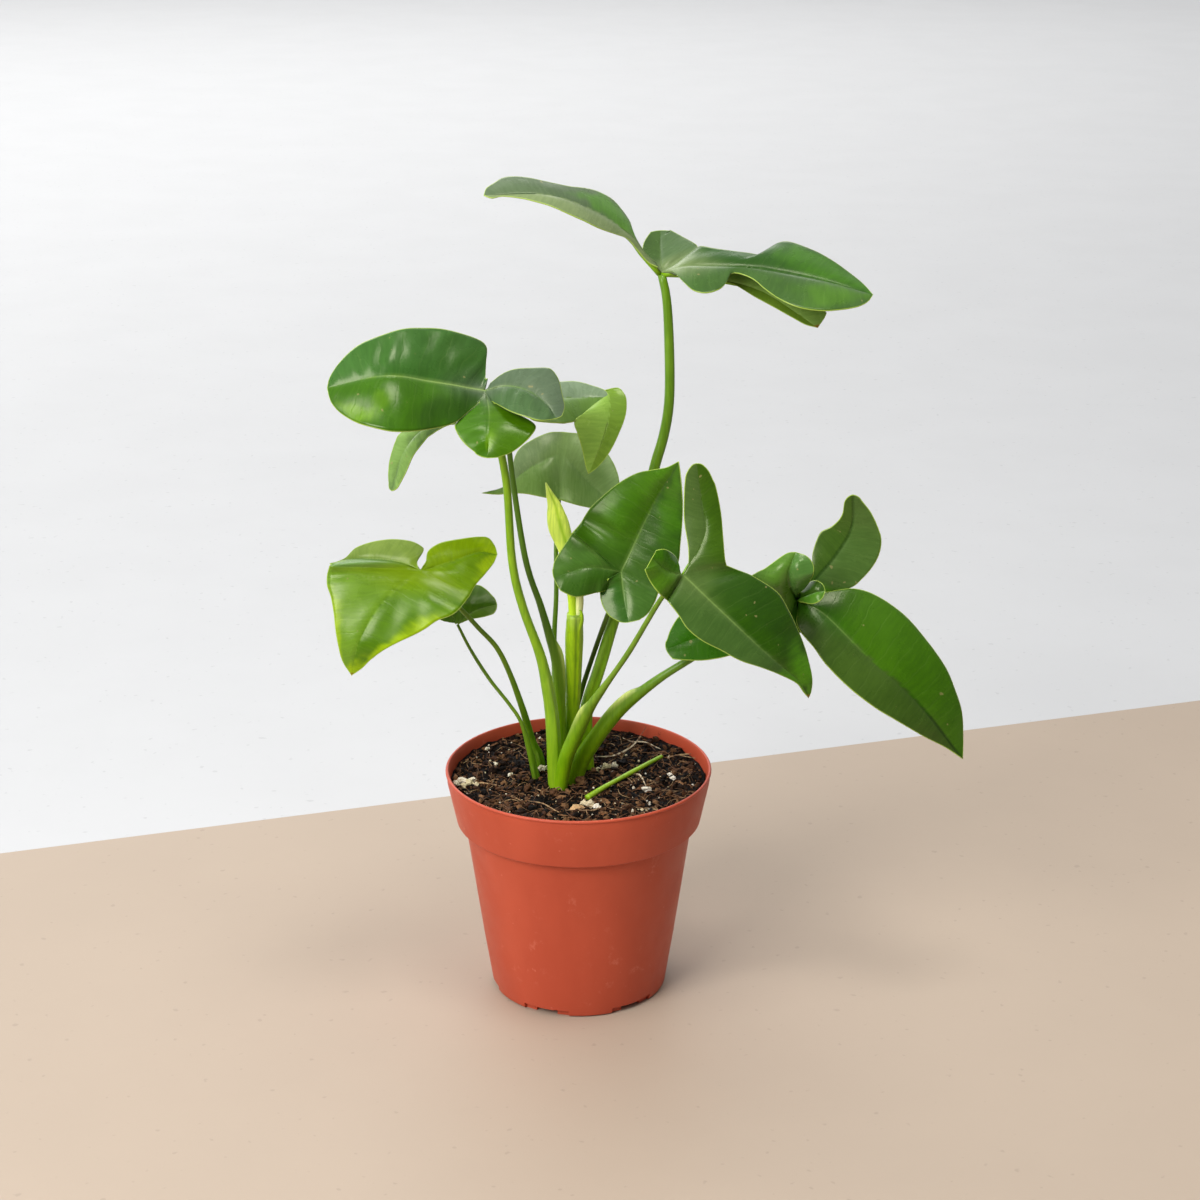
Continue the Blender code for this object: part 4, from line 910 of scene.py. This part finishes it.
def half_lobe(form, layers, part, rib, edge, side, hue, heart, patches, rusty, ruffle, dome):
    """One side of a lobe, in rows that run out from the midrib as the side veins do."""
    tone, lay = layers
    up = part["up"]
    heart_face = up[0].normalized()
    sideways = heart_face.cross(Vector((0, -1, 0))).normalized()
    forwards = heart_face.cross(sideways)
    length = sum((b - a).length for a, b in zip(rib, rib[1:]))
    veins = max(3, round(length / VEIN_SPACING))
    rows = []
    for row in range(ROWS + 1):
        along = row / ROWS
        _, _, face = lobe_frame(rib, up, along)
        width = (edge[row] - rib[row]).length
        settled = eased(along, 0.0, 0.16)
        shown = part["shown"][0] + (part["shown"][1] - part["shown"][0]) * eased(along, 0.15, 0.9)
        corners = []
        for column in range(COLUMNS + 1):
            across = column / COLUMNS
            arch = math.sin(math.pi * across ** 0.75)
            bare = rib[row].lerp(edge[row], across)
            wave = along * veins + 0.45 * noise.noise(bare / 14)
            quilt = ruffle[2] * (1.0 if side < 0 else 0.12) * math.sin(2 * math.pi * wave)
            quilt *= (math.sin(math.pi * across) * settled
                      * (0.6 + noise.noise(bare / 20 + Vector((5, 5, 5)))))
            away = bare - rib[0]
            turn = math.atan2(away.dot(sideways), away.dot(forwards))
            fold = ruffle[3] * math.cos(FOLDS * turn + 1.6 * noise.noise(bare / 30))
            fold *= eased(away.length, 5, 30) * settled * math.sin(math.pi * across ** 0.6)
            ripple = 0.5 * across ** 3 * noise.noise(bare / 11 + Vector((3, 1, 7))) * settled
            rise = dome * width * arch * settled + quilt + fold + swelling(bare, along, ruffle) + ripple
            place = bare + face * rise * min(1.0, width / 10 + 0.1)
            corner = form.verts.new(at(*place))
            shade = blend_shades(heart, hue, eased(along + across * 0.3, 0.05, 0.4))
            streak = 0.35 * noise.noise(Vector((along * length / 2.8, across * 2.0, side * 3.7)))
            streak += 0.35 * noise.noise(bare * 0.13)
            for along_at, across_at, far_along, far_across, patch_hue, strength in patches:
                off = math.hypot((along - along_at) / far_along, (across - across_at) / far_across)
                shade = tinted(shade, patch_hue, strength * (1 - eased(off + streak, 0.4, 1.15)))
            if rusty:
                shade = tinted(shade, "rust", eased(along, 0.965, 0.99))
            corner[tone] = shade[:3] + (0.5 + 0.5 * shown,)
            corner[lay] = (across * width, (1 - across) * width, along * veins)
            corners.append(corner)
        rows.append(corners)
    for lower, upper in zip(rows, rows[1:]):
        for column in range(COLUMNS):
            ring = (lower[column], upper[column], upper[column + 1], lower[column + 1])
            form.faces.new(ring[::-1] if side < 0 else ring)


def rib_skin(form, layers, rib, up, thick, hue, ruffle):
    """The rib under a lobe, drawn out to nothing at the tip."""
    tone, lay = layers
    turns = [2 * math.pi / RIB_SIDES * n for n in range(RIB_SIDES)]
    rings = []
    for step in range(RIB_STEPS + 1):
        share = RIB_END * step / RIB_STEPS
        place, side, face = lobe_frame(rib, up, share)
        size = thick * (1 - share) ** 0.8 + 0.12
        centre = place - face * (size * 0.95 + 0.3 - swelling(place, share, ruffle))
        outline = [(size * math.cos(a), size * math.sin(a)) for a in turns]
        ring = skin_ring(form, tone, centre, side, face, outline,
                         [blend_shades(HUES["leek"], hue, share * 0.8)] * RIB_SIDES)
        for corner in ring:
            corner[lay] = (5, 5, 0.5)
        rings.append(ring[::-1])
    join_rings(form, rings)


def leaf_skin(name, veined, roughness, gloss):
    """Waxy leaf skin: painted tone, fine streaks, veins, a light margin with a painted rim highlight, a
    dark line of painted shade on grooved ribs, specks, and relief.
    """
    finish, shader, place, tone = new_material(name, IOR=1.45, Specular_IOR_Level=gloss,
                                               Specular_Tint=(1.0, 1.0, 0.72, 1))
    alpha = add(shader, "Attribute", "Alpha", attribute_name="tone")
    shown, groove_painted_shade = ramp(alpha, 0.5, 1.0), ramp(alpha, 0.5, 0.15)
    lay = add(shader, "Attribute", "Vector", attribute_name="lay")
    from_rib, from_margin, phase = (add(lay, "SeparateXYZ", axis, {0: lay}) for axis in "XYZ")
    clouds = noise_at(place, 50, 4, 0.6)
    wavy = phase + (noise_at(place, 110, 2) - 0.5) * 0.5
    grain = add(wavy, "CombineXYZ", "Vector", {"X": wavy * 5.5, "Y": from_rib * 0.09})
    streaks = noise_at(grain, 1.0, 4, 0.62)
    beat = add(wavy, "Math", 0, {0: wavy, 1: 0.5}, operation="PINGPONG")
    vein = ramp(beat, 0.05, 0.0) * ramp(from_margin, 0.8, 5.0)
    rib_line = ramp(from_rib, 0.62, 0.18) * shown
    rib_glow = ramp(from_rib, 2.2, 0.3) * shown
    # Where a lobe's rib is shown as a groove, a dark line of painted shade runs along it.
    groove = ramp(from_rib, 1.3, 0.2) * groove_painted_shade
    dark = mixed(1.0, tone, (0.82, 0.85, 0.78, 1), "MULTIPLY")
    light = mixed(1.0, tone, (1.17, 1.13, 1.15, 1), "MULTIPLY")
    colour = mixed(ramp(clouds * 0.5 + streaks * 0.5, 0.34, 0.66), dark, light)
    pale_vein = mixed(0.55, colour, paint(170, 200, 110))
    colour = mixed(vein * (0.05 * veined), colour, pale_vein)
    colour = mixed(rib_glow * (0.25 * veined), colour, pale_vein)
    colour = mixed(rib_line * (0.8 * veined), colour, pale_vein)
    colour = mixed(groove, colour, mixed(1.0, colour, (0.45, 0.55, 0.4, 1), "MULTIPLY"))
    # A pale line along every margin: the blade's pale edge, with a painted rim highlight in it.
    colour = mixed(ramp(from_margin, 0.50, 0.16) * 0.75, colour, paint(176, 202, 84))
    specks = ramp(noise_at(place, 330, 1, 0.3), 0.775, 0.80, 0.0, 0.5)
    coat(shader, mixed(specks, colour, paint(150, 140, 90)),
         ramp(clouds, 0.3, 0.7, roughness, roughness + 0.10),
         (clouds * 0.5 + streaks * 0.2) - (vein * 0.08 + rib_line * 0.6), 0.5, 0.0006)
    return finish


leaf_top_finish = leaf_skin("leaf_upper_skin", 1.0, 0.22, 0.38)
leaf_under_finish = leaf_skin("leaf_under_skin", 0.6, 0.50, 0.3)


def build_leaf(name, junction, notches, lobes):
    """One blade with its ribs, skinned to a closed sheet."""
    notches = grouped(notches, 3)
    blade, ribbing = new_form(), new_form()
    layers = [(tone, form.verts.layers.float_vector.new("lay")) for form, tone in (blade, ribbing)]
    heart = lobes[-1]["hues"][0]
    ruffle = RUFFLES.get(name, PLAIN_RUFFLE)
    rib_size = min(STALKS[name.replace("leaf", "petiole")][1][-1] * 0.7, 1.3)
    for index, part in enumerate(lobes):
        rib = smooth_curve([junction] + part["rib"], ROWS + 1)
        for side, margin, notch, hue in ((-1, part["right"], index, part["hues"][1]),
                                         (1, part["left"], index + 1, part["hues"][0])):
            patches = [p[2:] for p in PATCHES.get(name, ()) if p[:2] == (index, side)]
            edge = margin_curve(rib, part["up"], notches[notch], margin, side, part["pointed"])
            half_lobe(blade[0], layers[0], part, rib, edge, side, hue, heart, patches,
                      index in RUSTY_TIPS.get(name, ()), ruffle, DOMES.get((name, index), PLAIN_DOME))
        rib_skin(ribbing[0], layers[1], rib, part["up"], rib_size, part["hues"][0], ruffle)
    bmesh.ops.remove_doubles(blade[0], verts=blade[0].verts, dist=0.02 * MM)
    piece = add_piece(name + "_blade", blade[0], leaf_top_finish, leaf_under_finish)
    bpy.context.view_layer.objects.active = piece
    skin = piece.modifiers.new("Thickness", "SOLIDIFY")
    skin.thickness = BLADE * MM
    skin.offset = 0
    skin.material_offset = 1
    bpy.ops.object.modifier_apply(modifier=skin.name)
    finish_piece(piece, "bright_leaf" if name == "leaf_lower_left" else "leaf", name)
    finish_piece(add_piece(name + "_ribs", ribbing[0], stalk_finish), "leaf")


def build_stalk(name, sheath_end, low, middle, top, facing, ears):
    """One stalk, from under the soil to the back of its blade."""
    points, radii = STALKS[name]
    route, sizes = grouped(points, 3), list(radii)
    leaf = name.replace("petiole", "leaf")
    if leaf in BLADES:
        junction, _, lobes = BLADES[leaf]
        face = sum((part["up"][0] for part in lobes), Vector()).normalized()
        route.append(tuple(Vector(junction) - face * STALK_BEHIND))
        sizes.append(sizes[-1] * 0.85)
        foot = Vector(route[0])
        route[0] = tuple(foot + (foot - Vector(route[1])).normalized() * STALK_SUNK)
    form, tone = new_form()
    tube(form, tone, route, sizes, STALK_STEPS, STALK_SIDES, facing,
         stalk_outline(sheath_end, low, middle, top, ears))
    finish_piece(add_piece(name.replace("petiole", "stalk"), form, stalk_finish), "stalk", name)


for name, look in STALK_LOOKS.items():
    build_stalk(name, *look)
for name, blade in BLADES.items():
    build_leaf(name, *blade)

# ------------------------------------------------------------------------------- the new leaf
# The plant's youngest leaf, still rolled to a spear, on a lime stem that comes out of the split
# sheath of the leaf before it. All of it is soft and pale, and its skin is thin.

new_finish = plant_skin("new_growth_skin", 0.36, 0.6, 0.3)
NEW_SIDES = 28
SHEATH_SUNK = 2.5               # how far the sheath goes on under the soil


def sheath_outline(share, angle):
    slit = near_line(angle, -1.35, 0.10) * eased(share, 0.28, 0.62)
    lips = near_line(angle, -1.0, 0.25) + near_line(angle, -1.75, 0.25)
    shade = tinted(HUES["sheath_foot"], "sheath", eased(share, 0.1, 0.6))
    # The slit's darker colour is painted shade in the split of the sheath.
    shade = tinted(tinted(shade, "slit", slit * 0.7), "film", 0.15 * eased(share, 0.9, 1.0))
    return 1 - 0.10 * slit + 0.06 * lips * eased(share, 0.3, 0.6), shade


def spear_outline(share, angle):
    overlap = near_line(angle, -1.15, 0.30) * eased(share, 0.35, 0.55)
    shade = tinted(HUES["lime_stem"], "spear", eased(share, 0.25, 0.45))
    shade = tinted(tinted(shade, "spear_tip", eased(share, 0.9, 1.0)), "spear_fold", 0.9 * overlap)
    flat = eased(share, 0.30, 0.5)
    squeeze = 1 / math.hypot(math.cos(angle) / (1 + 0.22 * flat), math.sin(angle) / (1 - 0.42 * flat))
    return squeeze * (1 - 0.07 * overlap), shade


def new_growth(form, tone, points, radii, steps, sides, outline_at):
    """A soft tube, with its angles counted from the right."""
    tube(form, tone, points, radii, steps, sides, (1, 0, 0), outline_at)


form, tone = new_form()
points, radii = STALKS["sheath_new_leaf"]
foot, *rest = grouped(points, 3)
new_growth(form, tone, [(foot[0], foot[1], foot[2] - SHEATH_SUNK), *rest], radii, 60, NEW_SIDES,
           sheath_outline)
# Small curled flaps at the sheath's mouth: the route, the radii and the hue of each.
for route, sizes, hue in (
        ([(-0.2, 1.2, 184), (1.4, 0.6, 190), (1.6, 0.3, 194.4), (0.6, 0, 195.6)],
         [1.3, 1.5, 1.2, 0.3], "sheath"),
        ([(-3.6, 1.2, 184), (-4.3, 1.3, 190), (-3.8, 1.5, 192.6)], [1.3, 1.5, 0.5], "sheath"),
        ([(-0.2, 2.6, 190), (0.8, 3.0, 200), (1.0, 3.2, 213)], [2.0, 2.0, 1.9, 1.5, 0.5], "film")):
    new_growth(form, tone, route, sizes, 12, 10, lambda share, angle: (1.0, HUES[hue]))
finish_piece(add_piece("new_leaf_sheath", form, new_finish), "new_growth", "sheath_new_leaf")

form, tone = new_form()
route = [(-2.2, 1.9, 188), (-3, 3.5, 200), (-4.3, 5, 209.2), (-5.5, 8, 221.4), (-6.7, 9, 227.1),
         (-8.8, 9.5, 233.5), (-10.3, 10, 239.8), (-11.4, 10.5, 245.1), (-13.4, 11, 250.4), (-15.2, 11, 256)]
radii = [2.1, 2.1, 2.05, 2, 2, 2.1, 2.2, 2.45, 2.95, 3.6, 4.1, 4.25, 3.7, 2, 0.25]
new_growth(form, tone, route, radii, 72, NEW_SIDES, spear_outline)
finish_piece(add_piece("new_leaf_spear", form, new_finish), "new_growth", "rolled_new_leaf")

# ------------------------------------------------------------------- the table, light, camera
# A sheet of beige board on a wide white surface; its far edge runs slightly askew behind the plant.
# A large soft box lights it from the left and a small one from overhead. Three washes light the
# surface behind, and a pale sky, brighter at the back, fills the shade.


def table_sheet(name, corners, height, colour, roughness):
    """A flat sheet through corners, with the object at the origin."""
    bpy.ops.mesh.primitive_plane_add(size=1)
    sheet = bpy.context.object
    sheet.name = name
    for vertex, corner in zip(sheet.data.vertices, corners):
        vertex.co = Vector((corner[0], corner[1], height))
    finish, shader, place, _ = new_material(name + "_finish", Roughness=roughness)
    mottled = ramp(noise_at(place, 9, 5, 0.6), 0.3, 0.7)
    fibres = ramp(noise_at(place, 210, 2, 0.3), 0.70, 0.78, 0.0, 0.25)
    darker, fleck = (tuple(c * share for c in colour[:3]) + (1,) for share in (0.975, 0.5))
    coat(shader, mixed(fibres, mixed(mottled, darker, colour), fleck), None,
         noise_at(place, 700, 3), 0.08, 0.0005)
    sheet.data.materials.append(finish)


table_sheet("floor", [(-6, -6), (6, -6), (-6, 6), (6, 6)], -0.0012, paint(196, 196, 196), 0.7)
table_sheet("board", [(-2.5, -3.0), (2.5, -3.0), at(-2500, -548, 0), at(2500, 1040, 0)],
            -0.0002, paint(174, 156, 137), 0.6)

# Each soft box: where it stands, where it points, its size both ways, and its power.
for name, spot, aim, width, depth, power in (
        ("window", (-1.05, -1.25, 1.25), (0, 0, 0.18), 0.95, 0.95, 35.5),
        ("ceiling", (0.1, -0.35, 1.6), (0, 0, 0.2), 0.5, 0.4, 8.5),
        ("far_wash", (-1.3, 3.4, 2.2), (-1.3, 3.6, 0), 4.0, 2.6, 86),
        ("left_wash", (-1.3, 1.4, 1.5), (-1.0, 1.5, 0), 1.4, 1.4, 12),
        ("right_wash", (1.3, 4.3, 1.5), (1.3, 4.3, 0), 1.2, 1.2, 4)):
    lamp = bpy.data.lights.new(name, "AREA")
    lamp.shape = "RECTANGLE"
    lamp.size = width
    lamp.size_y = depth
    lamp.energy = power
    box = new_object(name, lamp)
    box.location = spot
    box.rotation_euler = (Vector(aim) - Vector(spot)).to_track_quat("-Z", "Y").to_euler()

sky = bpy.data.worlds.new("pale_room")
bpy.context.scene.world = sky
sky.use_nodes = True
backdrop = sky.node_tree.nodes["Background"]
heading = add(backdrop, "TexCoord", "Generated")
lean = add(heading, "VectorMath", "Value", {0: heading, 1: (-0.35, 0.8, 0.48)}, operation="DOT_PRODUCT")
glow = ramp(lean, -0.7, 0.8, 0.17, 0.8)
sky.node_tree.links.new(glow.socket, backdrop.inputs["Strength"])
backdrop.inputs["Color"].default_value = (0.93, 0.94, 0.96, 1)

lens = bpy.data.cameras.new("camera")
lens.lens = 75
lens.sensor_width = 36
camera = new_object("camera", lens)
camera.location = at(10.5, -1125.2, 600.8)
camera.rotation_euler = (math.radians(90 - 19.57), 0, 0)
bpy.context.scene.camera = camera
bpy.context.scene.view_settings.view_transform = "Standard"
